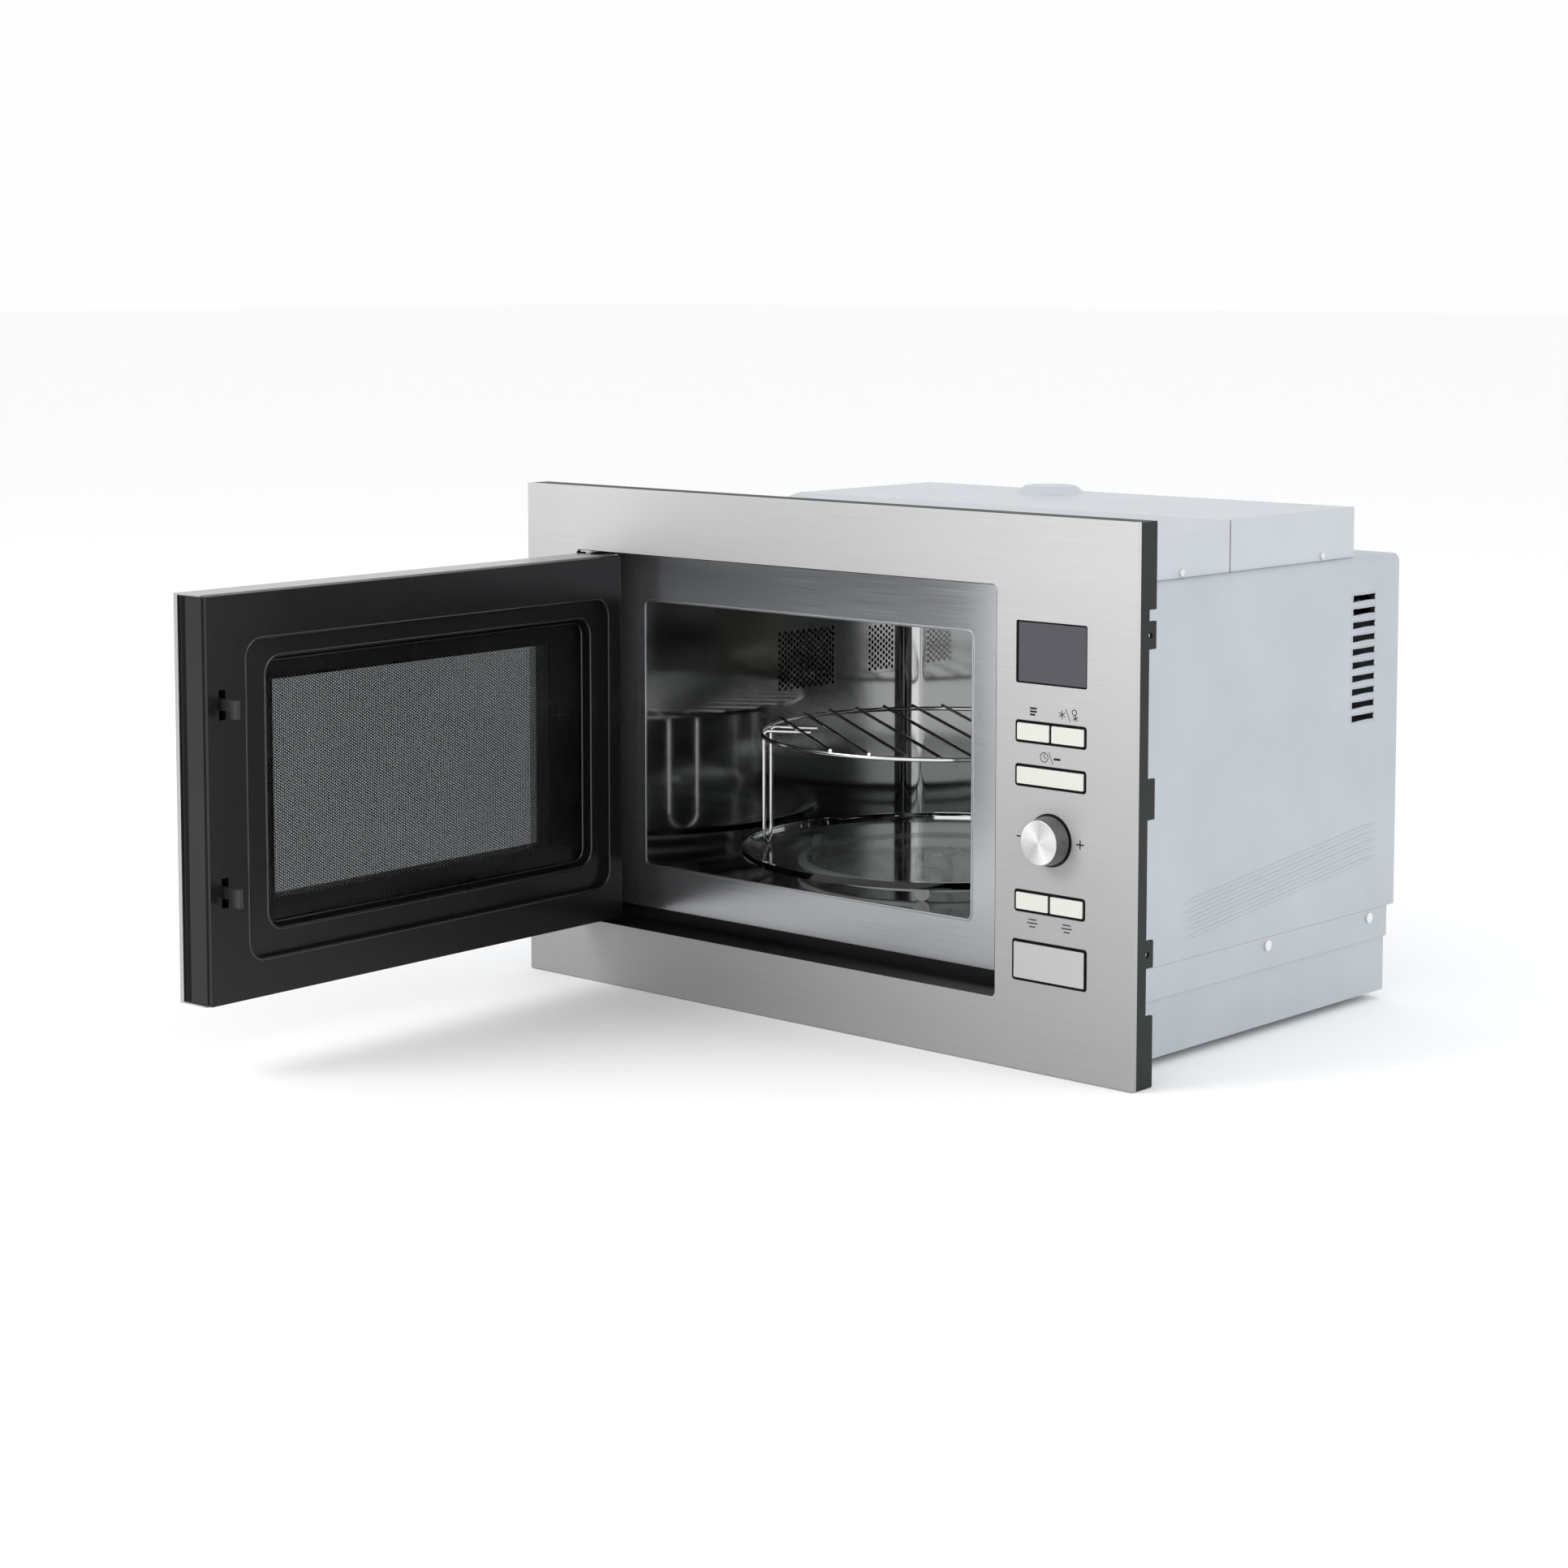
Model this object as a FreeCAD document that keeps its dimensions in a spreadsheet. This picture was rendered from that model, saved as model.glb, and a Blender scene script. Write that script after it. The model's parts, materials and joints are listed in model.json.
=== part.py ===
"""Built-in microwave oven with a side-hinged door, modelled in millimetres.

Frame of the part: X runs to the right along the trim frame and Y into the cabinet, with Z up.
The origin is on the seating plane against the cabinet's front edge, at the middle of the trim
frame's bottom edge. The door is modelled closed and then swung open about its hinge axis.
"""
import FreeCAD
import Part
import Sketcher
import math
import os
import re

SIZES = {
    # cavity, which the rest is laid around
    "cavity_depth": 328,
    "cavity_height": 220,
    "cavity_floor": 84,
    "cavity_sheet": 1,
    "cavity_corner": 18,
    "side_room": 6,
    "guide_drop": 85,
    "left_room": 59.5,
    "bay_width": 132.5,
    "roof_room": 38,
    "rear_room": 3.8,
    "plate_setback": 34,
    "plate_sheet": 1.2,
    "plate_low": 57.5,
    "aperture_inset": 6,
    "aperture_sill": 8,
    "aperture_head": 4,
    "aperture_radius": 4,
    "lip_width": 1.6,
    "lip_proud": 0.7,
    # trim frame
    "flange_overhang": 29.5,
    "top_margin": 47,
    "frame_depth": 22,
    "steel_sheet": 1,
    "fold_depth": 3.8,
    "carrier_wall": 2.5,
    "notch_depth": 8,
    "notch_low": 50,
    "notch_margin": 60,
    "tab_height": 19,
    "tab_low": 93,
    "tab_middle": 200,
    "tab_margin": 77.5,
    "tab_middle_height": 28,
    "fixing_radius": 2.2,
    "fixing_setback": 6.5,
    # door opening in the frame
    "margin_left": 42.5,
    "margin_right": 49.5,
    "margin_low": 44,
    "margin_high": 40.5,
    "opening_radius": 4,
    "jamb_wall": 1.1,
    "jamb_gap": 0.3,
    # control column
    "column_gap": 48,
    "fascia_width": 80,
    "fascia_low": 56,
    "fascia_high": 326,
    "fascia_wall": 1.8,
    "rim": 1.7,
    "rim_proud": 0.3,
    "rim_radius": 2.4,
    "display_radius": 1.5,
    "trim_gap": 0.15,
    "row_width": 61.7,
    "row_height": 15.9,
    "row_high": 239.6,
    "row_wide": 208.9,
    "row_low": 120.3,
    "divider": 1.6,
    "key_gap": 0.35,
    "key_proud": 0.9,
    "key_travel": 1.2,
    "key_lip": 1.2,
    "key_radius": 0.8,
    "stem_radius": 2,
    "stem_gap": 0.2,
    "switch_depth": 2,
    "release_width": 65.2,
    "release_height": 29.4,
    "release_level": 78.2,
    "release_travel": 3.5,
    "display_width": 61.6,
    "display_height": 43.8,
    "display_level": 295.2,
    "display_recess": 0.6,
    "knob_level": 165.5,
    "knob_base_radius": 17.5,
    "knob_top_radius": 15.7,
    "knob_length": 12.5,
    "knob_wall": 1.5,
    "knob_gap": 0.4,
    "collar_radius": 18.6,
    "shaft_radius": 3,
    "running_gap": 0.05,
    "board_setback": 12.5,
    "board_thick": 1.5,
    # door
    "door_open": 88,
    "door_gap": 1.5,
    "door_gap_low": 3,
    "door_gap_high": 3,
    "door_thick": 33,
    "door_wrap": 28,
    "door_corner": 2,
    "hinge_inset": 8,
    "hinge_setback": 5,
    "hinge_pin": 3,
    "hinge_plate": 2,
    "hinge_pin_length": 13,
    "boss_wall": 2,
    "recess_depth": 6,
    "recess_border": 27.25,
    "recess_end": 33,
    "recess_shift": 9.75,
    "recess_drop": 3,
    "recess_radius": 14,
    "pocket_depth": 14,
    "pocket_side": 18,
    "pocket_end": 15.9,
    "pocket_shift": 4,
    "pocket_drop": 1.1,
    "screen_side": 25.25,
    "screen_end": 19.35,
    "screen_shift": 2,
    "screen_thick": 0.8,
    "screen_lap": 10,
    "shell_wall": 3,
    "latch_inset": 14,
    "latch_drop": 81,
    "latch_rise": 80.5,
    "latch_thick": 3,
    "latch_reach": 17,
    "latch_lift": 3,
    # turntable
    "tray_gap": 6.5,
    "tray_thick": 3.7,
    "tray_rim": 7.7,
    "tray_rim_width": 13,
    "roller_radius": 6,
    "roller_width": 8,
    "roller_inset": 35.5,
    "ring_gap": 5,
    "ring_width": 6,
    "ring_thick": 3.5,
    "axle_radius": 1.6,
    "coupler_radius": 9,
    "lobe_radius": 3.5,
    "lobe_orbit": 10,
    "drive_radius": 3.5,
    "stack_gap": 0.3,
    "rack_gap": 2.5,
    "rack_height": 94,
    "rack_wire": 1.7,
    "bar_wire": 1.3,
    "leg_wire": 1.5,
    "bar_pitch": 24.5,
    "bar_count": 10,
    "bar_angle": -36,
    "leg_angle": 209,
    "leg_spread": 24,
    "leg_arm": 38,
    "leg_bend": 4,
    # body
    "cover_sheet": 1,
    "cover_front": 1,
    "cover_overhang": 10,
    "cover_radius": 6,
    "seam_level": 72,
    "band_level": 48.5,
    "tub_inset": 2.5,
    "base_bottom": 6,
    "foot_radius": 14,
    "foot_inset": 63,
    "louvre_count": 10,
    "louvre_pitch": 10.1,
    "louvre_drop": 30.6,
    "louvre_length": 32,
    "louvre_height": 5,
    "louvre_inset": 49,
    "duct_left": 115,
    "duct_right": 6,
    "duct_height": 38,
    "duct_front": 139,
    "duct_setback": 45,
    "slope_front": 6,
    "slope_start": 10,
    "slope_seam": 1.2,
    "boss_radius": 28,
    "boss_height": 6,
    "boss_inset": 33,
    "screw_radius": 4,
    "screw_head": 1.4,
}

# sizes that follow from the ones above
FOLLOWING = {
    "cavity_width": "cavity_depth + 2*side_room",
    "body_width": "cavity_width + 2*cavity_sheet + left_room + bay_width + 2*cover_sheet",
    "aperture_centre": "(left_room - bay_width)/2",
    "aperture_width": "cavity_width - 2*aperture_inset",
    "aperture_bottom": "cavity_floor + aperture_sill",
    "aperture_height": "cavity_height - aperture_sill - aperture_head",
    "opening_centre": "aperture_centre + (margin_right - margin_left)/2",
    "opening_width": "aperture_width + margin_left + margin_right",
    "opening_bottom": "aperture_bottom - margin_low",
    "opening_height": "aperture_height + margin_low + margin_high",
    "latch_low": "opening_bottom + latch_rise",
    "latch_high": "opening_bottom + opening_height - latch_drop",
    "guide_level": "cavity_floor + cavity_height - guide_drop",
    "cover_top": "cavity_floor + cavity_height + cavity_sheet + roof_room",
    "frame_width": "body_width + 2*flange_overhang",
    "frame_height": "cover_top + top_margin",
    "notch_high": "frame_height - notch_margin",
    "tab_high": "frame_height - tab_margin",
    "column_centre": "opening_centre + opening_width/2 + column_gap",
    "recess_width": "opening_width - 2*recess_border",
    "recess_height": "opening_height - 2*recess_end",
    "pocket_width": "recess_width - 2*pocket_side",
    "pocket_height": "recess_height - 2*pocket_end",
    "screen_width": "pocket_width - 2*screen_side",
    "screen_height": "pocket_height - 2*screen_end",
    "tray_radius": "cavity_depth/2 - tray_gap",
    "roller_orbit": "tray_radius - roller_inset",
    "ring_radius": "roller_orbit - roller_width/2 - ring_gap",
    "base_rear": "plate_setback - frame_depth + plate_sheet + cavity_depth + cavity_sheet + rear_room",
    "cover_rear": "base_rear + cover_overhang",
    "duct_rear": "base_rear - duct_setback",
    "foot_spread": "body_width/2 - foot_inset",
}

NAME = re.compile(r"[a-z][a-z_]*")
TURN = {
    "x": FreeCAD.Rotation(FreeCAD.Vector(0, 1, 0), 90),
    "y": FreeCAD.Rotation(FreeCAD.Vector(1, 0, 0), -90),
    "z": FreeCAD.Rotation(),
}

doc = FreeCAD.newDocument("MicrowaveOven")
sheet = doc.addObject("Spreadsheet::Sheet", "Sizes")
for row, (alias, amount) in enumerate(SIZES.items(), 1):
    sheet.set(f"A{row}", alias)
    sheet.set(f"B{row}", str(amount))
    sheet.setAlias(f"B{row}", alias)
doc.recompute()
NODES = []

# planes and edges that several pieces share, as expressions of the sheet's cells
HALF = "(frame_width/2)"
FRONT = "(-frame_depth)"
SHEET_BACK = "(steel_sheet - frame_depth)"
FOLD_BACK = "(fold_depth - frame_depth)"
FASCIA_BACK = f"({SHEET_BACK} + fascia_wall)"
BOARD_FRONT = "(board_setback - frame_depth)"
BOARD_BACK = f"({BOARD_FRONT} + board_thick)"
OPEN_LEFT = "(opening_centre - opening_width/2)"
OPEN_RIGHT = "(opening_centre + opening_width/2)"
OPEN_TOP = "(opening_bottom + opening_height)"
PLATE = "(plate_setback - frame_depth)"
PLATE_BACK = f"({PLATE} + plate_sheet)"
APERTURE_LEFT = "(aperture_centre - aperture_width/2)"
APERTURE_RIGHT = "(aperture_centre + aperture_width/2)"
APERTURE_TOP = "(aperture_bottom + aperture_height)"
CAVITY_LEFT = "(aperture_centre - cavity_width/2)"
CAVITY_RIGHT = "(aperture_centre + cavity_width/2)"
CAVITY_TOP = "(cavity_floor + cavity_height)"
CAVITY_REAR = f"({PLATE_BACK} + cavity_depth)"
TABLE = f"({PLATE_BACK} + cavity_depth/2)"
SIDE = "(body_width/2)"
INSIDE = "(body_width/2 - cover_sheet)"
COVER_INSIDE_TOP = "(cover_top - cover_sheet)"
DUCT = (f"duct_left - {SIDE}", f"{SIDE} - duct_right")
DUCT_TOP = "(cover_top + duct_height)"
BAY = f"({CAVITY_RIGHT} + cavity_sheet)"
FLOOR = "(base_bottom + cover_sheet)"
DOOR_LEFT = f"({OPEN_LEFT} + door_gap)"
DOOR_RIGHT = f"({OPEN_RIGHT} - door_gap)"
DOOR_LOW = "(opening_bottom + door_gap_low)"
DOOR_HIGH = f"({OPEN_TOP} - door_gap_high)"
DOOR_BACK = "(door_thick - frame_depth)"
DOOR_MIDDLE = "opening_centre"
DOOR_LEVEL = f"({DOOR_LOW}/2 + {DOOR_HIGH}/2)"
HINGE_X = f"({DOOR_LEFT} + hinge_inset)"
HINGE_Y = "(hinge_setback - frame_depth)"
LATCH_X = f"({DOOR_RIGHT} - latch_inset)"
BAR_TOP = "(latch_high + 22)"
SPRING_TOP = f"({BAR_TOP} + 18)"
ROLLER_LEVEL = "(cavity_floor + roller_radius)"
TRAY_LOW = "(cavity_floor + 2*roller_radius + stack_gap)"
TRAY_TOP = f"({TRAY_LOW} + tray_thick)"
TRAY_RIM = f"({TRAY_LOW} + tray_rim)"


def link(word):
    name = word.group()
    if name in FOLLOWING:
        return f"({linked(FOLLOWING[name])})"
    return f"Sizes.{name}" if name in SIZES else name


def linked(text):
    """The expression with each size's name pointing at its cell in the sheet."""
    return NAME.sub(link, text)


def bind(item, **sizes):
    for name, text in sizes.items():
        item.setExpression(name, linked(text))
    return item


def put(item, x, y, z):
    item.setExpression("Placement.Base.x", linked(x))
    item.setExpression("Placement.Base.y", linked(y))
    item.setExpression("Placement.Base.z", linked(z))
    return item


def span(pair):
    return f"({pair[1]}) - ({pair[0]})"


def around(centre, width):
    """The low and high ends of a width laid around a centre."""
    return f"{centre} - ({width})/2", f"{centre} + ({width})/2"


def box(x, y, z):
    """A box between the low and high ends on each axis."""
    item = doc.addObject("Part::Box", "Box")
    bind(item, Length=span(x), Width=span(y), Height=span(z))
    return put(item, x[0], y[0], z[0])


def rod(axis, across, along, radius):
    """A round bar along an axis; across gives its place on the two other axes in X, Y, Z order."""
    item = doc.addObject("Part::Cylinder", "Rod")
    item.Placement = FreeCAD.Placement(FreeCAD.Vector(), TURN[axis])
    bind(item, Radius=radius, Height=span(along))
    spot = list(across)
    spot.insert("xyz".index(axis), along[0])
    return put(item, *spot)


def cone(axis, across, along, radii):
    item = doc.addObject("Part::Cone", "Cone")
    item.Placement = FreeCAD.Placement(FreeCAD.Vector(), TURN[axis])
    bind(item, Radius1=radii[0], Radius2=radii[1], Height=span(along))
    spot = list(across)
    spot.insert("xyz".index(axis), along[0])
    return put(item, *spot)


def joined(*items):
    item = doc.addObject("Part::MultiFuse", "Joined")
    item.Shapes = list(items)
    item.Refine = True
    return item


def group(*items):
    item = doc.addObject("Part::Compound", "Group")
    item.Links = list(items)
    return item


def cut(base, *tools):
    item = doc.addObject("Part::Cut", "Cut")
    item.Base = base
    item.Tool = tools[0] if len(tools) == 1 else joined(*tools)
    return item


def overlap(base, tool):
    item = doc.addObject("Part::Common", "Overlap")
    item.Base = base
    item.Tool = tool
    return item


def slab(x, y, z, windows=(), bores=(), radius=None, more=()):
    """A plate across Y with rounded corners; windows are (x, z, corner radius), bores (x, z, radius).

    more holds further pads, each (x, y, z, windows), that grow from the same body.
    """
    body = doc.addObject("PartDesign::Body", "Slab")
    pad = raise_pad(body, y, [(x, z), *[(w[0], w[1]) for w in windows]], bores)
    rounded = [(0, radius)] + [(number + 1, w[2]) for number, w in enumerate(windows)]
    doc.recompute()
    for number, corner in rounded:
        if corner:
            pad = round_corners(body, pad, body.Group[0], number, corner)
    for extra in more:
        raise_pad(body, extra[1], [(extra[0], extra[2]), *extra[3]], ())
    return body


def raise_pad(body, y, rectangles, bores):
    """Pad a sketch of rectangles and circles from the low to the high end of y."""
    plane = [item for item in body.Origin.OriginFeatures if item.Role == "XZ_Plane"][0]
    sketch = body.newObject("Sketcher::SketchObject", "Outline")
    sketch.AttachmentSupport = (plane, [""])
    sketch.MapMode = "FlatFace"
    sketch.setExpression("AttachmentOffset.Base.z", linked(f"-({y[0]})"))
    for number, (x, z) in enumerate(rectangles):
        draw_rectangle(sketch, number, x, z)
    for number, (x, z, radius) in enumerate(bores):
        draw_circle(sketch, number, x, z, radius)
    pad = body.newObject("PartDesign::Pad", "Pad")
    pad.Profile = sketch
    pad.Reversed = True
    pad.setExpression("Length", linked(span(y)))
    return pad


def dimension(sketch, kind, edge, end, name, text):
    index = sketch.addConstraint(Sketcher.Constraint(kind, -1, 1, edge, end, 1.0))
    sketch.renameConstraint(index, name)
    sketch.setExpression(f"Constraints.{name}", linked(text))


def draw_rectangle(sketch, number, x, z):
    first = sketch.GeometryCount
    size = 10 + number
    points = [(-size, -size), (size, -size), (size, size), (-size, size)]
    corners = [FreeCAD.Vector(across, up, 0) for across, up in points]
    for side in range(4):
        sketch.addGeometry(Part.LineSegment(corners[side], corners[(side + 1) % 4]), False)
    for side in range(4):
        sketch.addConstraint(Sketcher.Constraint("Coincident", first + side, 2, first + (side + 1) % 4, 1))
    for side in (0, 2):
        sketch.addConstraint(Sketcher.Constraint("Horizontal", first + side))
    for side in (1, 3):
        sketch.addConstraint(Sketcher.Constraint("Vertical", first + side))
    dimension(sketch, "DistanceX", first, 1, f"left{number}", x[0])
    dimension(sketch, "DistanceX", first, 2, f"right{number}", x[1])
    dimension(sketch, "DistanceY", first, 1, f"low{number}", z[0])
    dimension(sketch, "DistanceY", first + 2, 1, f"high{number}", z[1])


def draw_circle(sketch, number, x, z, radius):
    edge = sketch.GeometryCount
    up = FreeCAD.Vector(0, 0, 1)
    sketch.addGeometry(Part.Circle(FreeCAD.Vector(number, number, 0), up, 1), False)
    dimension(sketch, "DistanceX", edge, 3, f"across{number}", x)
    dimension(sketch, "DistanceY", edge, 3, f"level{number}", z)
    index = sketch.addConstraint(Sketcher.Constraint("Radius", edge, 1.0))
    sketch.renameConstraint(index, f"radius{number}")
    sketch.setExpression(f"Constraints.radius{number}", linked(radius))


def round_corners(body, base, sketch, number, radius):
    """Fillet the four edges along Y that stand on the corners of the sketch's rectangle."""
    corners = []
    for side in range(4):
        corner = sketch.Geometry[4 * number + side].StartPoint
        corners.append((corner.x, corner.y))
    names = []
    for index, edge in enumerate(base.Shape.Edges, 1):
        way = edge.tangentAt(edge.FirstParameter)
        spot = edge.Vertexes[0].Point
        near = [1 for x, z in corners if math.hypot(spot.x - x, spot.z - z) < 1e-3]
        if abs(way.y) > 0.99 and near:
            names.append(f"Edge{index}")
    fillet = body.newObject("PartDesign::Fillet", "Round")
    fillet.Base = (base, names)
    fillet.setExpression("Radius", linked(radius))
    doc.recompute()
    return fillet


def keep(label, item):
    item.Label = label
    NODES.append(item)
    return item


def hang(label, item):
    """Keep a piece of the door, swung open about the hinge axis."""
    turn = "(door_open * 1deg)"
    item.Placement = FreeCAD.Placement(FreeCAD.Vector(), FreeCAD.Rotation(FreeCAD.Vector(0, 0, 1), 1))
    item.setExpression("Placement.Rotation.Angle", linked(f"-{turn}"))
    x = f"{HINGE_X} - {HINGE_X} * cos({turn}) - {HINGE_Y} * sin({turn})"
    y = f"{HINGE_Y} + {HINGE_X} * sin({turn}) - {HINGE_Y} * cos({turn})"
    item.setExpression("Placement.Base.x", linked(x))
    item.setExpression("Placement.Base.y", linked(y))
    return keep(label, item)


def shaped(label, shape):
    """A piece whose shape comes from Part's own functions."""
    item = doc.addObject("Part::Feature", label)
    item.Shape = shape
    return keep(label, item)


def grown(pair, by):
    return f"{pair[0]} - ({by})", f"{pair[1]} + ({by})"


# openings in the steel face for the controls, as (x, z) pairs of ends
ROW_X = around("column_centre", "row_width")
ROWS = {level: around(level, "row_height") for level in ("row_high", "row_wide", "row_low")}
RELEASE_X = around("column_centre", "release_width")
RELEASE_Z = around("release_level", "release_height")
DISPLAY_X = around("column_centre", "display_width")
DISPLAY_Z = around("display_level", "display_height")
OPENING_X = (OPEN_LEFT, OPEN_RIGHT)
OPENING_Z = ("opening_bottom", OPEN_TOP)
DOOR_X = (DOOR_LEFT, DOOR_RIGHT)
DOOR_Z = (DOOR_LOW, DOOR_HIGH)
KEY_X = {
    "wide": grown(ROW_X, "-rim - key_gap"),
    "left": (f"{ROW_X[0]} + rim + key_gap", "column_centre - divider/2 - key_gap"),
    "right": ("column_centre + divider/2 + key_gap", f"{ROW_X[1]} - rim - key_gap"),
}
KEYS = {
    "program_key": ("row_high", "left"),
    "defrost_key": ("row_high", "right"),
    "clock_key": ("row_wide", "wide"),
    "stop_key": ("row_low", "left"),
    "start_key": ("row_low", "right"),
}


def trim_frame():
    """The folded steel tray that shows on the front of the cabinet, and the ring that carries it."""
    face = (f"-{HALF}", HALF)
    tall = ("0", "frame_height")
    windows = [(OPENING_X, OPENING_Z, "opening_radius"), (DISPLAY_X, DISPLAY_Z, "display_radius")]
    windows += [(ROW_X, level, "rim_radius") for level in ROWS.values()]
    windows.append((RELEASE_X, RELEASE_Z, "rim_radius"))
    bores = [("column_centre", "knob_level", "collar_radius + trim_gap")]
    hollow = (grown(face, "-steel_sheet"), grown(tall, "-steel_sheet"))
    fold = (face, (FRONT, FOLD_BACK), tall, [hollow])
    keep("front_frame", slab(face, (FRONT, SHEET_BACK), tall, windows, bores, more=[fold]))

    ring = cut(box(face, (FOLD_BACK, "0"), tall),
               box(grown(face, "-carrier_wall"), (FOLD_BACK, "1"), grown(tall, "-carrier_wall")))
    web = box(grown(face, "-steel_sheet"), (SHEET_BACK, FOLD_BACK), grown(tall, "-steel_sheet"))
    jamb_in = (grown(OPENING_X, "jamb_gap"), grown(OPENING_Z, "jamb_gap"))
    jamb_out = (grown(jamb_in[0], "jamb_wall"), grown(jamb_in[1], "jamb_wall"))
    jamb = box(jamb_out[0], (SHEET_BACK, f"{PLATE} - jamb_gap"), jamb_out[1])
    doorway = box(jamb_in[0], (FRONT, f"{PLATE} + 1"), jamb_in[1])
    column = box(around("column_centre", "fascia_width + 2*trim_gap"), (FRONT, "0"),
                 ("fascia_low - trim_gap", "fascia_high + trim_gap"))
    gaps = [("notch_low", "tab_low - tab_height/2"),
            ("tab_low + tab_height/2", "tab_middle - tab_middle_height/2"),
            ("tab_middle + tab_middle_height/2", "tab_high - tab_height/2"),
            ("tab_high + tab_height/2", "notch_high")]
    notches = []
    for side in ("-1", "1"):
        wall = (f"{side}*{HALF} - 2*carrier_wall", f"{side}*{HALF} + 2*carrier_wall")
        for low, high in gaps:
            notches.append(box(wall, ("-notch_depth", "1"), (low, high)))
        for level in ("tab_low", "tab_high"):
            notches.append(rod("x", ("-fixing_setback", level), wall, "fixing_radius"))
    sill = box(jamb_out[0], (f"{PLATE} - jamb_gap", PLATE_BACK), (jamb_out[1][0], "plate_low"))
    keep("frame_carrier", joined(cut(joined(ring, web, jamb), doorway, column, *notches), sill))

    strips = []
    for side in (-1, 1):
        outer = f"{side}*({HALF} - carrier_wall)"
        inner = f"{side}*({INSIDE} - cover_sheet)"
        leg = f"{side}*({INSIDE} - 2*cover_sheet)"
        ends = (inner, outer) if side > 0 else (outer, inner)
        legs = (leg, inner) if side > 0 else (inner, leg)
        reach = ("notch_low", "notch_high")
        strips.append(joined(box(ends, ("-notch_depth - cover_sheet", "-notch_depth"), reach),
                             box(legs, ("-notch_depth - cover_sheet", PLATE), reach)))
    keep("frame_brackets", group(*strips))


def control_column():
    """Fascia, display, keys, door release and knob, with the board behind them."""
    width = around("column_centre", "fascia_width")
    panel = box(width, (SHEET_BACK, FASCIA_BACK), ("fascia_low", "fascia_high"))
    openings = [(ROW_X, level) for level in ROWS.values()] + [(RELEASE_X, RELEASE_Z)]
    rims = [slab(grown(x, "-trim_gap"), (f"{FRONT} - rim_proud", SHEET_BACK), grown(z, "-trim_gap"),
                 radius="rim_radius - trim_gap") for x, z in openings]
    through = (f"{FRONT} - 1", f"{FASCIA_BACK} + 1")
    holes = [box(grown(RELEASE_X, "-rim"), through, grown(RELEASE_Z, "-rim")),
             box(grown(ROW_X, "-rim"), through, grown(ROWS["row_wide"], "-rim"))]
    for level in ("row_high", "row_low"):
        tall = grown(ROWS[level], "-rim")
        holes.append(box((f"{ROW_X[0]} + rim", "column_centre - divider/2"), through, tall))
        holes.append(box(("column_centre + divider/2", f"{ROW_X[1]} - rim"), through, tall))
    holes.append(box(grown(DISPLAY_X, "-2*rim"), through, grown(DISPLAY_Z, "-2*rim")))
    holes.append(rod("y", ("column_centre", "knob_level"), through, "shaft_radius + 1"))
    holes.append(rod("y", ("column_centre", "knob_level"), (f"{FRONT} - 1", SHEET_BACK), "collar_radius + 1"))
    keep("control_fascia", cut(joined(panel, *rims), *holes))

    pane = (grown(DISPLAY_X, "-trim_gap"), grown(DISPLAY_Z, "-trim_gap"))
    lens = (f"{FRONT} + display_recess", SHEET_BACK)
    keep("display_window", slab(pane[0], lens, pane[1], radius="display_radius"))

    for label, (level, side) in KEYS.items():
        keep(label, push_key(KEY_X[side], grown(ROWS[level], "-rim - key_gap"), level, "key_travel"))
    cap = (grown(RELEASE_X, "-rim - key_gap"), grown(RELEASE_Z, "-rim - key_gap"))
    keep("door_release_button", push_key(cap[0], cap[1], "release_level", "release_travel"))

    spot = ("column_centre", "knob_level")
    collar = rod("y", spot, (f"{FRONT} - 2*rim_proud", SHEET_BACK), "collar_radius")
    keep("knob_collar", cut(collar, rod("y", spot, (f"{FRONT} - 1", SHEET_BACK), "shaft_radius + 1")))
    base = f"({FRONT} - 2*rim_proud - knob_gap)"
    top = f"({base} - knob_length)"
    skin = cone("y", spot, (top, base), ("knob_top_radius", "knob_base_radius"))
    hollow = cone("y", spot, (f"{top} + 2*knob_wall", base),
                  ("knob_top_radius - knob_wall", "knob_base_radius - knob_wall"))
    hub = rod("y", spot, (f"{top} + knob_wall", base), "2*shaft_radius")
    bore = rod("y", spot, (f"{base} - knob_length/2", base), "shaft_radius")
    keep("knob", cut(joined(cut(skin, hollow), hub), bore))
    keep("encoder_shaft", rod("y", spot, (f"{base} - knob_length/2", f"{BOARD_FRONT} - board_thick"),
                              "shaft_radius"))
    body = box(around("column_centre", "5*shaft_radius"), (f"{FASCIA_BACK} + 1", BOARD_FRONT),
               around("knob_level", "5*shaft_radius"))
    shaft_room = rod("y", spot, (FRONT, f"{BOARD_FRONT} - board_thick + running_gap"),
                     "shaft_radius + running_gap")
    keep("encoder", cut(body, shaft_room))

    board_z = ("row_low - 3*stem_radius", "fascia_high - rim")
    board = box(grown(width, "-rim"), (BOARD_FRONT, BOARD_BACK), board_z)
    module = box(grown(DISPLAY_X, "-3*rim"), (f"{SHEET_BACK} + trim_gap", BOARD_FRONT),
                 grown(DISPLAY_Z, "-3*rim"))
    parts = [board, module]
    for level, side in KEYS.values():
        middle = f"({KEY_X[side][0]})/2 + ({KEY_X[side][1]})/2"
        parts.append(box(around(middle, "3*stem_radius"), (f"{BOARD_FRONT} - switch_depth", BOARD_FRONT),
                         around(level, "3*stem_radius")))
    chip = ("column_centre - 2*rim", f"{width[1]} - 4*rim")
    parts.append(box(chip, (BOARD_BACK, f"{BOARD_BACK} + 3*board_thick"), ("knob_level", "row_wide")))
    keep("control_board", joined(*parts))


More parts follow.
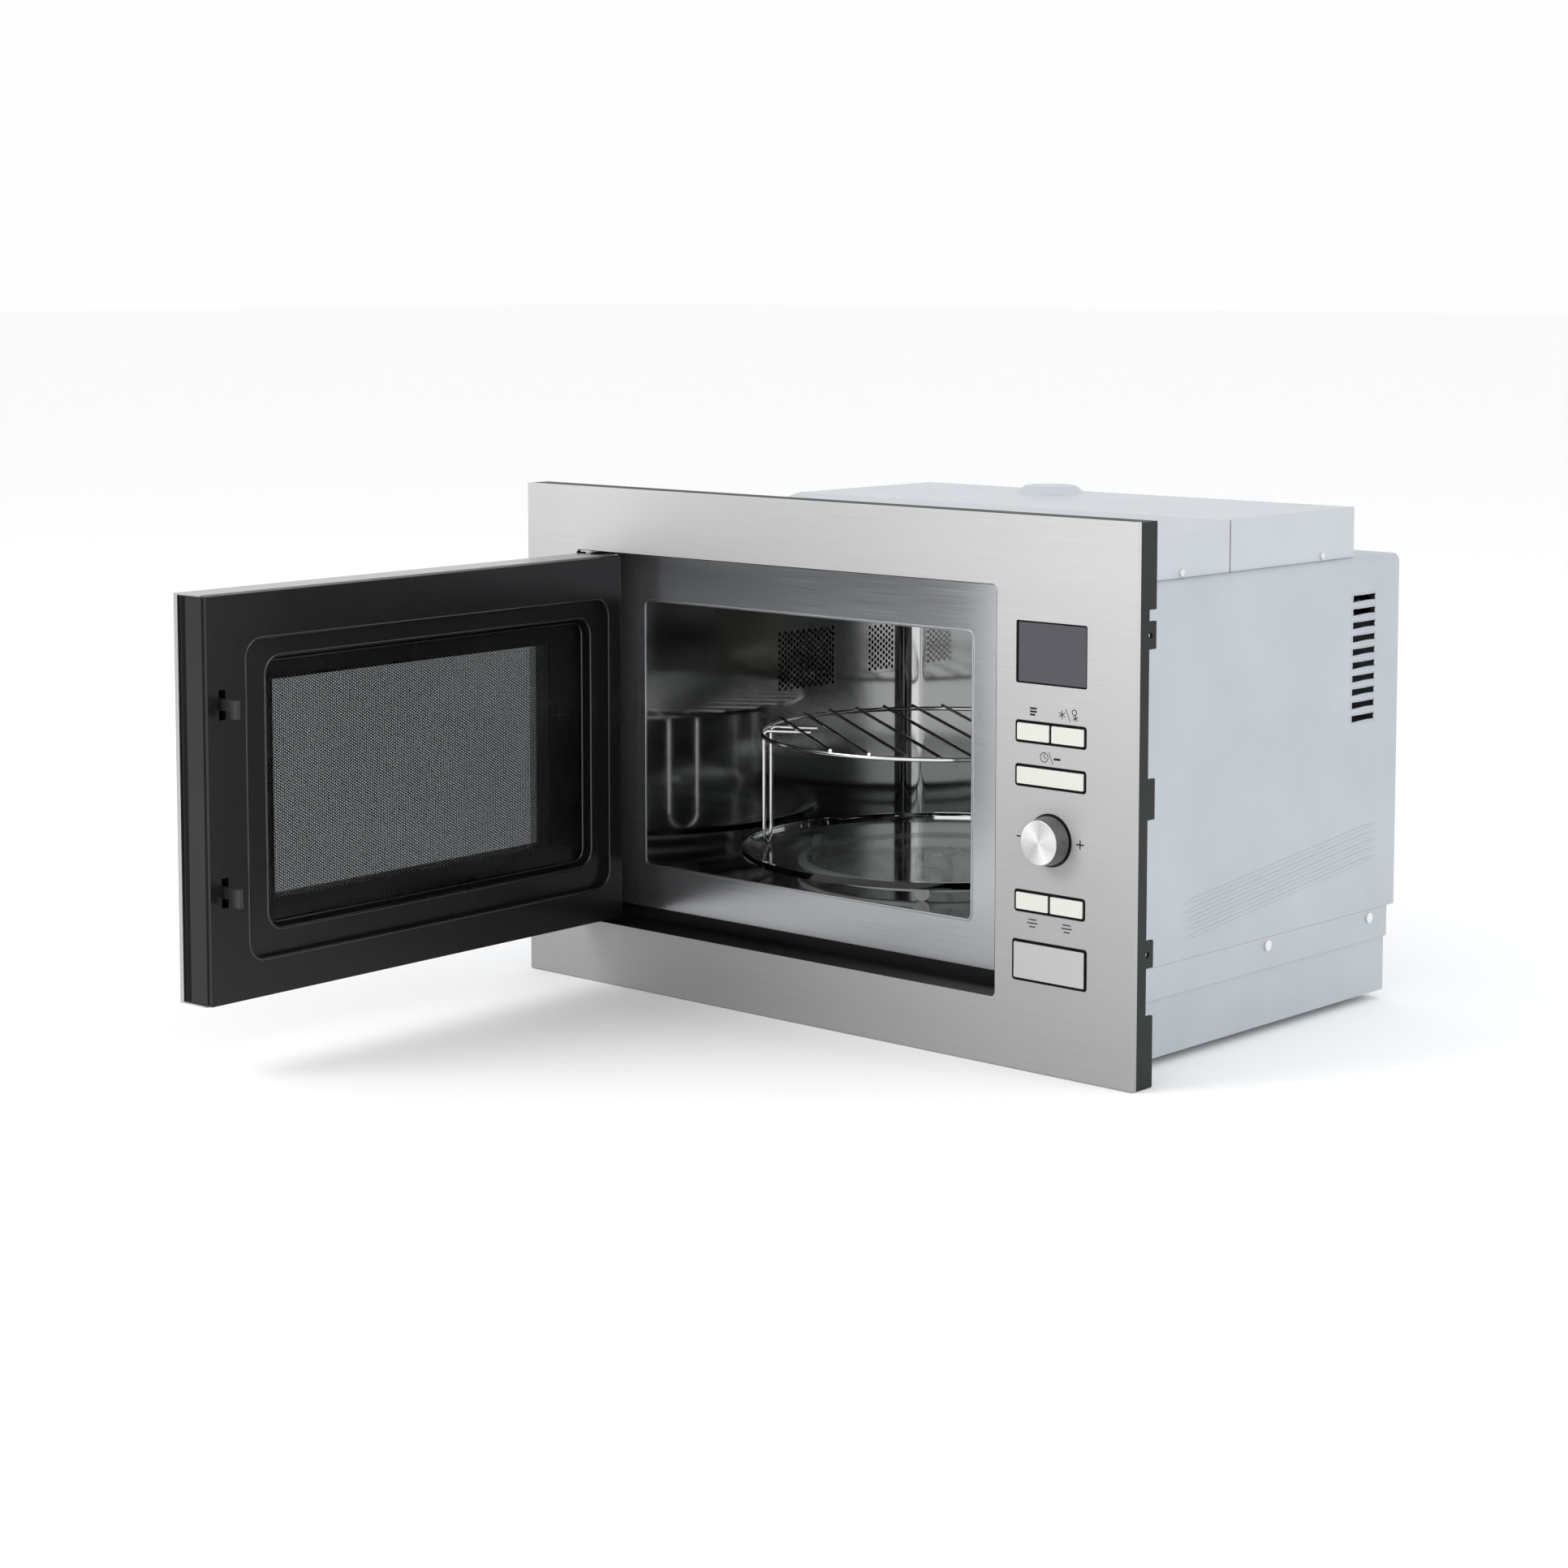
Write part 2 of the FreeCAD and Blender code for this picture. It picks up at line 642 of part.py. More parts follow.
def push_key(x, z, level, travel):
    """A key cap with a lip that holds it behind the fascia and a stem that reaches its switch."""
    lip_front = f"({FASCIA_BACK} + trim_gap)"
    lip_back = f"({lip_front} + key_lip)"
    cap = slab(x, (f"{FRONT} - key_proud", lip_front), z, radius="key_radius")
    lip = box(x, (lip_front, lip_back), grown(z, "key_lip"))
    middle = f"({x[0]})/2 + ({x[1]})/2"
    end = f"{BOARD_FRONT} - switch_depth - {travel} - stem_gap"
    return joined(cap, lip, rod("y", (middle, level), (lip_back, end), "stem_radius"))


def door():
    """Steel face, moulded inner frame, choke, screen, glass and the sprung latch of the door."""
    back = f"({FRONT} + door_wrap)"
    skin = [box(DOOR_X, (FRONT, SHEET_BACK), DOOR_Z),
            box(DOOR_X, (FRONT, back), (DOOR_LOW, f"{DOOR_LOW} + steel_sheet")),
            box(DOOR_X, (FRONT, back), (f"{DOOR_HIGH} - steel_sheet", DOOR_HIGH)),
            box((DOOR_LEFT, f"{DOOR_LEFT} + steel_sheet"), (FRONT, FOLD_BACK), DOOR_Z),
            box((f"{DOOR_RIGHT} - steel_sheet", DOOR_RIGHT), (FRONT, FOLD_BACK), DOOR_Z)]
    window = (around(DOOR_MIDDLE, "pocket_width"), around(DOOR_LEVEL, "pocket_height"))
    opening = box(window[0], (f"{FRONT} - 1", f"{SHEET_BACK} + 1"), window[1])
    pin_room = rod("z", (HINGE_X, HINGE_Y), (f"{DOOR_LOW} - 1", f"{DOOR_HIGH} + 1"), "hinge_pin + 1")
    hang("door_front_panel", cut(joined(*skin), opening, pin_room))
    hang("door_window_glass", group(box(grown(window[0], "-trim_gap"), (FRONT, SHEET_BACK),
                                        grown(window[1], "-trim_gap"))))

    body = (grown(DOOR_X, "-steel_sheet"), grown(DOOR_Z, "-steel_sheet"))
    floor = f"({DOOR_BACK} - pocket_depth)"
    screen = f"({floor} - 2)"
    block = slab(body[0], (SHEET_BACK, DOOR_BACK), body[1])
    recess_x = around(f"({DOOR_MIDDLE} - recess_shift)", "recess_width")
    recess_z = around(f"({DOOR_LEVEL} - recess_drop)", "recess_height")
    recess = slab(recess_x, (f"{DOOR_BACK} - recess_depth", f"{DOOR_BACK} + 1"),
                  recess_z, radius="recess_radius")
    pocket_z = around(f"({DOOR_LEVEL} - pocket_drop)", "pocket_height")
    pocket_x = around(f"({DOOR_MIDDLE} - recess_shift - pocket_shift)", "pocket_width")
    pocket = slab(pocket_x, (floor, f"{DOOR_BACK} + 1"), pocket_z,
                  radius="recess_radius")
    screen_z = around(DOOR_LEVEL, "screen_height")
    screen_x = around(f"({DOOR_MIDDLE} - screen_shift)", "screen_width")
    view = box(screen_x, (SHEET_BACK, f"{DOOR_BACK} + 1"), screen_z)
    bulk = box(grown(body[0], "-shell_wall"), (f"{SHEET_BACK} - 1", screen), grown(body[1], "-shell_wall"))
    bores = []
    for low, high in ((f"{body[1][0]}", f"{DOOR_LOW} + hinge_pin_length"),
                      (f"{DOOR_HIGH} - hinge_pin_length", f"{body[1][1]}")):
        bores.append(rod("z", (HINGE_X, HINGE_Y), (low, high), "hinge_pin + running_gap"))
    slots = [box(around(LATCH_X, "latch_thick + 3"), (screen, f"{DOOR_BACK} + 1"),
                 (f"{level} - 9", f"{level} + 9 + latch_lift")) for level in ("latch_low", "latch_high")]
    corner = rod("z", (f"{body[0][0]} + door_corner", f"{DOOR_BACK} - door_corner"), body[1], "door_corner")
    square = box((f"{body[0][0]} - 1", f"{body[0][0]} + door_corner"),
                 (f"{DOOR_BACK} - door_corner", f"{DOOR_BACK} + 1"), grown(body[1], "1"))
    shell = cut(block, recess, pocket, view, bulk, *slots, cut(square, corner))
    boss = rod("z", (HINGE_X, HINGE_Y), body[1], "hinge_pin + boss_wall")
    bearing = overlap(boss, box(body[0], (SHEET_BACK, DOOR_BACK), body[1]))
    seat = box(around(LATCH_X, "4*latch_thick"), (f"{SHEET_BACK} + 1", screen), (SPRING_TOP, f"{SPRING_TOP} + 3"))
    hang("door_inner_frame", cut(joined(shell, bearing, seat), *bores))

    choke_x = recess_x
    choke_z = recess_z
    choke = cut(box(choke_x, (f"{SHEET_BACK} + 1", f"{screen} - screen_thick"), choke_z),
                box(grown(choke_x, "-cover_sheet"), (f"{SHEET_BACK} + 1 + cover_sheet", f"{screen}"),
                    grown(choke_z, "-cover_sheet")),
                box(screen_x, (FRONT, screen), screen_z))
    hang("door_choke_frame", choke)
    hang("door_screen", group(box(grown(screen_x, "screen_lap"), (f"{screen} - screen_thick", screen),
                                  grown(screen_z, "screen_lap/2"))))
    pane_x = grown(pocket_x, "-2*door_corner")
    pane = slab(pane_x, (floor, f"{floor} + screen_thick"), grown(pocket_z, "-2*door_corner"),
                radius="recess_radius - 2*door_corner")
    hang("door_inner_glass", pane)
    door_latch()


def door_latch():
    """The sliding bar with two hooks inside the door's free side, and the spring that returns it."""
    bar_y = (f"{SHEET_BACK} + 2", f"{SHEET_BACK} + 6")
    bar_z = ("latch_low - 22", BAR_TOP)
    pieces = [box(around(LATCH_X, "2*latch_thick"), bar_y, bar_z)]
    tip = f"{DOOR_BACK} + latch_reach"
    hook_x = around(LATCH_X, "latch_thick")
    for level in ("latch_low", "latch_high"):
        pieces.append(box(hook_x, (bar_y[0], tip), (f"{level} - 2", f"{level} + 6")))
        pieces.append(box(hook_x, (f"{tip} - 7", tip), (f"{level} - 7", f"{level} + 6")))
    hang("latch_plate", joined(*pieces))
    spot = (LATCH_X, f"({bar_y[0]})/2 + ({bar_y[1]})/2")
    coil_z = (BAR_TOP, SPRING_TOP)
    hang("latch_spring", cut(rod("z", spot, coil_z, "latch_thick"),
                             rod("z", spot, grown(coil_z, "1"), "latch_thick - 1")))


def hinges():
    """Steel plates on the jamb, each with the pin that the door turns on."""
    for label, side in (("hinge_lower", 1), ("hinge_upper", -1)):
        jamb = "(opening_bottom - jamb_gap)" if side > 0 else f"({OPEN_TOP} + jamb_gap)"
        plate_z = (jamb, f"{jamb} + hinge_plate") if side > 0 else (f"{jamb} - hinge_plate", jamb)
        pin_end = f"{DOOR_LOW} + hinge_pin_length - 1" if side > 0 else f"{DOOR_HIGH} - hinge_pin_length + 1"
        pin_z = (plate_z[1], pin_end) if side > 0 else (pin_end, plate_z[0])
        plate_y = (SHEET_BACK, f"{PLATE} - 2*jamb_gap")
        plate = box(around(HINGE_X, "4*hinge_pin"), plate_y, plate_z)
        keep(label, joined(plate, rod("z", (HINGE_X, HINGE_Y), pin_z, "hinge_pin")))


def latch_parts():
    """The bracket behind the front plate that takes the door's hooks, its switches and the lever."""
    hooks = ("latch_low", "latch_high")
    slot_x = (f"{LATCH_X} - 6", f"{LATCH_X} + 9")
    board_x = (f"{LATCH_X} - 10", f"{LATCH_X} + 22")
    face = (f"{PLATE_BACK}", f"{PLATE_BACK} + 2.5")
    panel = box(board_x, face, ("latch_low - 24", "latch_high + 24"))
    holes = [box(slot_x, grown(face, "1"), (f"{level} - 12", f"{level} + 14")) for level in hooks]
    rib = box((f"{board_x[1]} - 3", board_x[1]), (PLATE_BACK, f"{PLATE_BACK} + 34"),
              ("latch_low - 24", "latch_high + 24"))
    keep("latch_board", cut(joined(panel, rib), *holes))
    cases = [box((f"{board_x[1]} - 19", f"{board_x[1]} - 3"), (f"{PLATE_BACK} + 19", f"{PLATE_BACK} + 29"),
                 around(level, "28")) for level in (*hooks, "latch_low/2 + latch_high/2")]
    keep("microswitches", group(*cases))

    lever_x = around("column_centre", "4")
    front = f"({BOARD_FRONT} - switch_depth - release_travel)"
    pivot = (f"({front} + 4)", "(release_level + 26)")
    arm = box(lever_x, (front, f"{front} + 4"), ("release_level - 5", "release_level + 28"))
    hub = rod("x", pivot, lever_x, "5")
    finger = box(lever_x, (pivot[0], f"{PLATE_BACK} + 10"), (f"{pivot[1]} - 3", f"{pivot[1]} + 3"))
    bore = rod("x", pivot, grown(lever_x, "1"), "2.5 + running_gap")
    keep("release_lever", cut(joined(arm, hub, finger), bore))
    ear_x = (f"{lever_x[1]} + 0.3", f"{lever_x[1]} + 3.3")
    ear = box(ear_x, (f"{pivot[0]} - 4", PLATE), around(pivot[1], "10"))
    pin = rod("x", pivot, (f"{lever_x[0]} - 1", ear_x[1]), "2.5")
    keep("release_bracket", joined(ear, pin))


def cavity():
    """The bright front plate around the cavity's mouth, the welded box and what is set in its walls."""
    mouth = ((APERTURE_LEFT, APERTURE_RIGHT), ("aperture_bottom", APERTURE_TOP))
    wide = (f"-{INSIDE}", INSIDE)
    windows = [(*mouth, "aperture_radius")]
    for level in ("latch_low", "latch_high"):
        windows.append(((f"{LATCH_X} - 6", f"{LATCH_X} + 9"), (f"{level} - 12", f"{level} + 14"), None))
    lever = around("column_centre", "6")
    windows.append((lever, around("(release_level + 26)", "22"), None))
    plate = slab(wide, (PLATE, PLATE_BACK), ("plate_low", COVER_INSIDE_TOP), windows, radius="cover_radius")
    lip = slab(grown(mouth[0], "lip_width"), (f"{PLATE} - lip_proud", PLATE), grown(mouth[1], "lip_width"),
               [(*mouth, "aperture_radius")], radius="aperture_radius + lip_width")
    keep("cavity_front_plate", joined(plate, lip))

    inner = ((CAVITY_LEFT, CAVITY_RIGHT), (PLATE_BACK, CAVITY_REAR), ("cavity_floor", CAVITY_TOP))
    outer = box(grown(inner[0], "cavity_sheet"), (PLATE_BACK, f"{CAVITY_REAR} + cavity_sheet"),
                grown(inner[2], "cavity_sheet"))
    room = box(inner[0], (f"{PLATE_BACK} - 1", CAVITY_REAR), inner[2])
    skin = rear_corners("cavity_corner + cavity_sheet", "cavity_sheet", "0")
    air = rear_corners("cavity_corner", "0", "1")
    left = grown((f"{CAVITY_LEFT} - cavity_sheet", CAVITY_LEFT), "1")
    right = (f"{CAVITY_RIGHT} - 1", f"{CAVITY_RIGHT} + cavity_sheet + 1")
    vents = [((f"{TABLE} - 5", f"{TABLE} + 65.5"), ("guide_level - 8", "guide_level + 43.5")),
             ((f"{TABLE} + 107", f"{TABLE} + 143.5"), ("guide_level - 3", "guide_level + 41"))]
    guide = box((CAVITY_RIGHT, f"{BAY} + 40"), around(TABLE, "92"), around("guide_level", "92"))
    guide_room = box(right, around(TABLE, "80"), around("guide_level", "80"))
    guide_inside = box((BAY, f"{BAY} + 40 - cavity_sheet"), around(TABLE, "90"),
                       around("guide_level", "90"))
    grill = box(around("aperture_centre", "230"), around(f"{TABLE} - 70", "90"),
                (f"{CAVITY_TOP} - 1", f"{CAVITY_TOP} + cavity_sheet + 1"))
    lamp = box(right, around(f"{TABLE} + 90", "24"), around("guide_level + 45", "24"))
    drive = rod("z", ("aperture_centre", TABLE), ("cavity_floor - cavity_sheet - 1", "cavity_floor + 1"),
                "2*drive_radius")
    shell = cut(joined(cut(outer, *skin), guide), cut(room, *air), *[box(left, y, z) for y, z in vents],
                guide_room, guide_inside, grill, lamp, drive)
    keep("cavity_shell", shell)
    left_wall = (f"{CAVITY_LEFT} - cavity_sheet", CAVITY_LEFT)
    keep("cavity_vents", group(*[box(left_wall, y, z) for y, z in vents]))
    keep("waveguide_cover", box((f"{CAVITY_RIGHT} - 0.8", CAVITY_RIGHT), around(TABLE, "100"),
                                around("guide_level", "100")))
    lamp_y = around(f"{TABLE} + 90", "30")
    lamp_z = around("guide_level + 45", "30")
    bulb = rod("x", (f"{TABLE} + 90", "guide_level + 45"), (f"{BAY} + 2", f"{BAY} + 24"), "9")
    holder = box((f"{BAY} + 24", f"{BAY} + 34"), lamp_y, lamp_z)
    tab = box((BAY, f"{BAY} + 34"), (lamp_y[1], f"{lamp_y[1]} + 1"), lamp_z)
    keep("cavity_lamp", joined(bulb, holder, tab))
    grill_parts()


def rear_corners(radius, sheet, extra):
    """What a rounding of the cavity's two rear upright corners takes off a box."""
    pieces = []
    level = grown(("cavity_floor - cavity_sheet", f"{CAVITY_TOP} + cavity_sheet"), extra)
    for side, wall in ((1, CAVITY_LEFT), (-1, CAVITY_RIGHT)):
        face = f"({wall} - {side}*({sheet}))"
        rear = f"({CAVITY_REAR} + {sheet})"
        ends = (f"{face} - {side}*1", f"{face} + {side}*({radius})")
        corner = box(ends if side > 0 else ends[::-1], (f"{rear} - ({radius})", f"{rear} + 1"), level)
        pieces.append(cut(corner, rod("z", (f"{face} + {side}*({radius})", f"{rear} - ({radius})"),
                                      grown(level, "1"), radius)))
    return pieces


def grill_parts():
    """Two quartz tubes above the opening in the cavity's roof, under a bright reflector."""
    roof = f"({CAVITY_TOP} + cavity_sheet)"
    middle = f"({TABLE} - 70)"
    pan = box(around("aperture_centre", "250"), around(middle, "110"), (roof, f"{roof} + 28"))
    room = box(around("aperture_centre", "248"), around(middle, "108"), (f"{roof} - 1", f"{roof} + 27"))
    keep("grill_reflector", cut(pan, room))
    tubes = []
    for place in ("-22", "22"):
        line = (f"{middle} + {place}", f"{roof} + 12")
        tubes.append(rod("x", line, around("aperture_centre", "220"), "5"))
        for side in (-1, 1):
            ends = sorted((side * 110, side * 123.5))
            cap = (f"aperture_centre + {ends[0]}", f"aperture_centre + {ends[1]}")
            tubes.append(box(cap, around(line[0], "14"), around(line[1], "14")))
    keep("grill_heater", joined(*tubes))


def turntable():
    """Motor, coupler, roller ring, glass tray and the wire rack that stands on it."""
    spot = ("aperture_centre", TABLE)
    under = "(cavity_floor - cavity_sheet)"
    case = rod("z", spot, (f"{under} - 24", under), "25")
    foot = box(around("aperture_centre", "70"), around(TABLE, "14"), (f"{under} - 1.5", under))
    well = rod("z", spot, (f"{under} - 14", f"{under} + 1"), "drive_radius + running_gap")
    keep("turntable_motor", cut(joined(case, foot), well))
    top = f"({TRAY_LOW} - stack_gap)"
    hub_low = "(cavity_floor + stack_gap)"
    pieces = [rod("z", spot, (f"{under} - 13", f"{hub_low} + 1"), "drive_radius"),
              rod("z", spot, (hub_low, top), "coupler_radius")]
    for lobe in range(3):
        turn = f"{lobe * 120 + 90} * 1deg"
        place = (f"aperture_centre + lobe_orbit * cos({turn})", f"{TABLE} + lobe_orbit * sin({turn})")
        pieces.append(rod("z", place, (hub_low, top), "lobe_radius"))
    keep("turntable_coupler", joined(*pieces))

    ring_z = around(ROLLER_LEVEL, "ring_thick")
    hoop = cut(rod("z", spot, ring_z, "ring_radius"),
               rod("z", spot, grown(ring_z, "1"), "ring_radius - ring_width"))
    axles = []
    wheels = []
    reach = ("ring_radius - ring_width/2", "roller_orbit + roller_width/2 + 1")
    for arm in range(3):
        turn = FreeCAD.Rotation(FreeCAD.Vector(0, 0, 1), -57 + 120 * arm) * TURN["x"]
        axles.append(radial_rod(turn, arm, reach, "axle_radius"))
        width = around("roller_orbit", "roller_width")
        wheel = radial_rod(turn, arm, width, "roller_radius")
        eye = radial_rod(turn, arm, grown(width, "1"), "axle_radius + running_gap")
        wheels.append(cut(wheel, eye))
    keep("roller_ring", joined(hoop, *axles))
    for arm, wheel in enumerate(wheels, 1):
        keep(f"roller_{arm}", wheel)

    plate = rod("z", spot, (TRAY_LOW, TRAY_RIM), "tray_radius")
    dish = cone("z", spot, (TRAY_TOP, f"{TRAY_RIM} + 0.01"),
                ("tray_radius - tray_rim_width", "tray_radius - 3"))
    underside = cut(rod("z", spot, (f"{TRAY_LOW} - 1", f"{TRAY_LOW} + 2.5"), "tray_radius + 1"),
                    cone("z", spot, (f"{TRAY_LOW} - 1", f"{TRAY_LOW} + 2.5"),
                         ("roller_orbit + roller_width", "tray_radius")))
    hub = cut(rod("z", spot, (f"{TRAY_LOW} - 5", f"{TRAY_LOW} + 1"), "coupler_radius + 10"),
              rod("z", spot, (f"{TRAY_LOW} - 6", TRAY_LOW), "coupler_radius + 6"))
    keep("glass_tray", joined(cut(plate, dish, underside), hub))
    shaped("wire_rack", rack_shape())


def radial_rod(turn, arm, along, radius):
    """A round bar that points away from the turntable's axis."""
    item = doc.addObject("Part::Cylinder", "Rod")
    item.Placement = FreeCAD.Placement(FreeCAD.Vector(), turn)
    bind(item, Radius=radius, Height=span(along))
    angle = f"({-57 + 120 * arm}) * 1deg"
    return put(item, f"aperture_centre + ({along[0]}) * cos({angle})",
               f"{TABLE} + ({along[0]}) * sin({angle})", ROLLER_LEVEL)


def rack_shape():
    """A wire hoop with parallel bars across it and three legs, each one bent wire."""
    size = {name: float(sheet.get(name)) for name in SIZES}
    tray_radius = size["cavity_depth"] / 2 - size["tray_gap"]
    size["rack_radius"] = tray_radius - size["tray_rim_width"] - size["rack_gap"]
    tray_top = size["cavity_floor"] + 2 * size["roller_radius"] + size["stack_gap"] + size["tray_thick"]
    level = tray_top + size["rack_height"]
    up = FreeCAD.Vector(0, 0, 1)
    wires = [Part.makeTorus(size["rack_radius"], size["rack_wire"], FreeCAD.Vector(0, 0, level), up)]
    turn = math.radians(size["bar_angle"])
    way = FreeCAD.Vector(math.cos(turn), math.sin(turn), 0)
    side = FreeCAD.Vector(-math.sin(turn), math.cos(turn), 0)
    bar_level = level + size["rack_wire"] + size["bar_wire"] * 0.6
    count = int(size["bar_count"])
    for number in range(count):
        offset = (number - (count - 1) / 2) * size["bar_pitch"]
        half = math.sqrt(size["rack_radius"] ** 2 - offset ** 2) + size["bar_wire"]
        start = side * offset - way * half + up * bar_level
        wires.append(Part.makeCylinder(size["bar_wire"], 2 * half, start, way))
    foot = tray_top + size["stack_gap"] + size["leg_wire"]
    for number in range(3):
        turn = math.radians(size["leg_angle"] + 120 * number)
        outward = FreeCAD.Vector(math.cos(turn), math.sin(turn), 0)
        wires.append(leg_shape(size, outward, level, foot))
    shape = wires[0].multiFuse(wires[1:]).removeSplitter()
    solids = shape.Solids
    rack = solids[0] if len(solids) == 1 else shape
    centre = (size["left_room"] - size["bay_width"]) / 2
    depth = size["plate_setback"] - size["frame_depth"] + size["plate_sheet"]
    rack.translate(FreeCAD.Vector(centre, depth + size["cavity_depth"] / 2, 0))
    return rack


def leg_shape(size, outward, level, foot):
    """A wire that runs out under the bars, down, round the foot and back up beside itself."""
    across = FreeCAD.Vector(-outward.y, outward.x, 0)
    up = FreeCAD.Vector(0, 0, 1)
    reach = size["rack_radius"] - size["rack_wire"] * 0.5
    bend = size["leg_bend"]
    half = size["leg_spread"] / 2
    high = level - size["rack_wire"] * 0.8
    turned = math.sqrt(0.5)
    edges = []
    for sign in (1, -1):
        line = across * (half * sign)
        inner = line + outward * (reach - size["leg_arm"]) + up * high
        outer = line + outward * (reach - bend) + up * high
        knee = line + outward * (reach - bend + bend * turned) + up * (high - bend + bend * turned)
        under = line + outward * reach + up * (high - bend)
        low = line + outward * reach + up * (foot + half)
        run = [Part.LineSegment(inner, outer), Part.Arc(outer, knee, under), Part.LineSegment(under, low)]
        edges.append([piece.toShape() for piece in run])
    bottom = outward * reach + up * foot
    loop = Part.Arc(across * half + outward * reach + up * (foot + half), bottom,
                    across * -half + outward * reach + up * (foot + half)).toShape()
    path = Part.Wire(edges[0] + [loop] + list(reversed(edges[1])))
    start = across * half + outward * (reach - size["leg_arm"]) + up * high
    ring = Part.Wire([Part.makeCircle(size["leg_wire"], start, outward)])
    return path.makePipeShell([ring], True, False)


def bay_parts():
    """What stands in the bay to the right of the cavity."""
    middle = f"({BAY}/2 + {INSIDE}/2)"
    guide_end = f"({BAY} + 40)"
    magnet_y = around(TABLE, "76")
    magnet_z = around("guide_level", "70")
    frame = [box((guide_end, f"{guide_end} + 3"), magnet_y, magnet_z),
             box((f"{guide_end} + 52", f"{guide_end} + 55"), magnet_y, magnet_z),
             box((guide_end, f"{guide_end} + 55"), magnet_y, (magnet_z[0], f"{magnet_z[0]} + 3")),
             box((guide_end, f"{guide_end} + 55"), magnet_y, (f"{magnet_z[1]} - 3", magnet_z[1])),
             rod("x", (TABLE, "guide_level"), (guide_end, f"{guide_end} + 55"), "22"),
             box((f"{guide_end} + 55", f"{guide_end} + 72"), around(TABLE, "40"),
                 around("guide_level", "34"))]
    for fin in range(6):
        x = f"({guide_end} + {8 + 7.5 * fin})"
        frame.append(box((x, f"{x} + 0.8"), grown(magnet_y, "-4"), magnet_z))
    keep("magnetron", joined(*frame))

    core = box(around(middle, "96"), around(f"{PLATE_BACK} + 60", "66"), (FLOOR, f"{FLOOR} + 82"))
    holes = [box(around(f"{middle} + {place}", "20"), around(f"{PLATE_BACK} + 60", "80"),
                 (f"{FLOOR} + 18", f"{FLOOR} + 64")) for place in ("-26", "26")]
    keep("transformer", cut(core, *holes))
    coil = box(around(middle, "94"), around(f"{PLATE_BACK} + 60", "96"), (f"{FLOOR} + 20", f"{FLOOR} + 62"))
    legs = [box(ends, around(f"{PLATE_BACK} + 60", "66.4"), (f"{FLOOR} + 19", f"{FLOOR} + 63"))
            for ends in (around(middle, "32"), around(f"{middle} - 41.9", "12.2"),
                         around(f"{middle} + 41.9", "12.2"))]
    keep("transformer_windings", cut(coil, *legs))

    can = rod("y", (f"{middle} + 20", f"{FLOOR} + 27"), around(TABLE, "90"), "22")
    strap = cut(box(around(f"{middle} + 20", "48"), around(TABLE, "16"), (FLOOR, f"{FLOOR} + 51")),
                rod("y", (f"{middle} + 20", f"{FLOOR} + 27"), around(TABLE, "20"), "22"))
    terminals = rod("y", (f"{middle} + 20", f"{FLOOR} + 27"), (f"{TABLE} - 53", f"{TABLE} - 45"), "8")
    keep("capacitor", joined(can, terminals, strap))
    fan_parts(middle)


def fan_parts(middle):
    """The cooling fan that draws air in through the rear panel."""
    level = "(cavity_floor + 46)"
    spot = (middle, level)
    rear = "(base_rear - cover_sheet)"
    plate = box(around(middle, "112"), (f"{rear} - 26", rear), around(level, "104"))
    keep("fan_shroud", cut(plate, rod("y", spot, (f"{rear} - 27", f"{rear} + 1"), "44"),
                           box(grown(around(middle, "112"), "-2"), (f"{rear} - 24", f"{rear} - 2"),
                               grown(around(level, "104"), "-2"))))
    shaft = rod("y", spot, (f"{rear} - 40", f"{rear} - 6"), "3")
    blades = [rod("y", spot, (f"{rear} - 22", f"{rear} - 7"), "14")]
    for blade in range(5):
        blades.append(fan_blade(middle, level, f"{rear} - 19", 72 * blade))
    keep("fan_impeller", joined(shaft, *blades))
    case = box(around(middle, "62"), (f"{rear} - 64", f"{rear} - 34"), around(level, "50"))
    straps = [box(around(f"{middle} + {place}", "8"), (f"{rear} - 34", f"{rear} - 26"),
                  around(level, "106")) for place in ("-50", "50")]
    bridge = box(around(middle, "108"), (f"{rear} - 38", f"{rear} - 34"), around(level, "12"))
    keep("fan_motor", cut(joined(case, bridge, *straps),
                          rod("y", spot, (f"{rear} - 41", f"{rear} - 25"), "3 + running_gap")))


def fan_blade(middle, level, start, angle):
    """A flat blade set at a slant, from the hub to near the shroud's bore."""
    blade = doc.addObject("Part::Box", "Blade")
    bind(blade, Length="29", Width="1.6", Height="20")
    tilt = FreeCAD.Rotation(FreeCAD.Vector(1, 0, 0), -35)
    blade.Placement = FreeCAD.Placement(FreeCAD.Vector(11, -0.8, -10), FreeCAD.Rotation())
    pitched = doc.addObject("Part::Compound", "Pitched")
    pitched.Links = [blade]
    spin = FreeCAD.Rotation(FreeCAD.Vector(0, 1, 0), angle)
    pitched.Placement = FreeCAD.Placement(FreeCAD.Vector(), spin * tilt)
    return put(pitched, middle, f"{start} + 5", level)


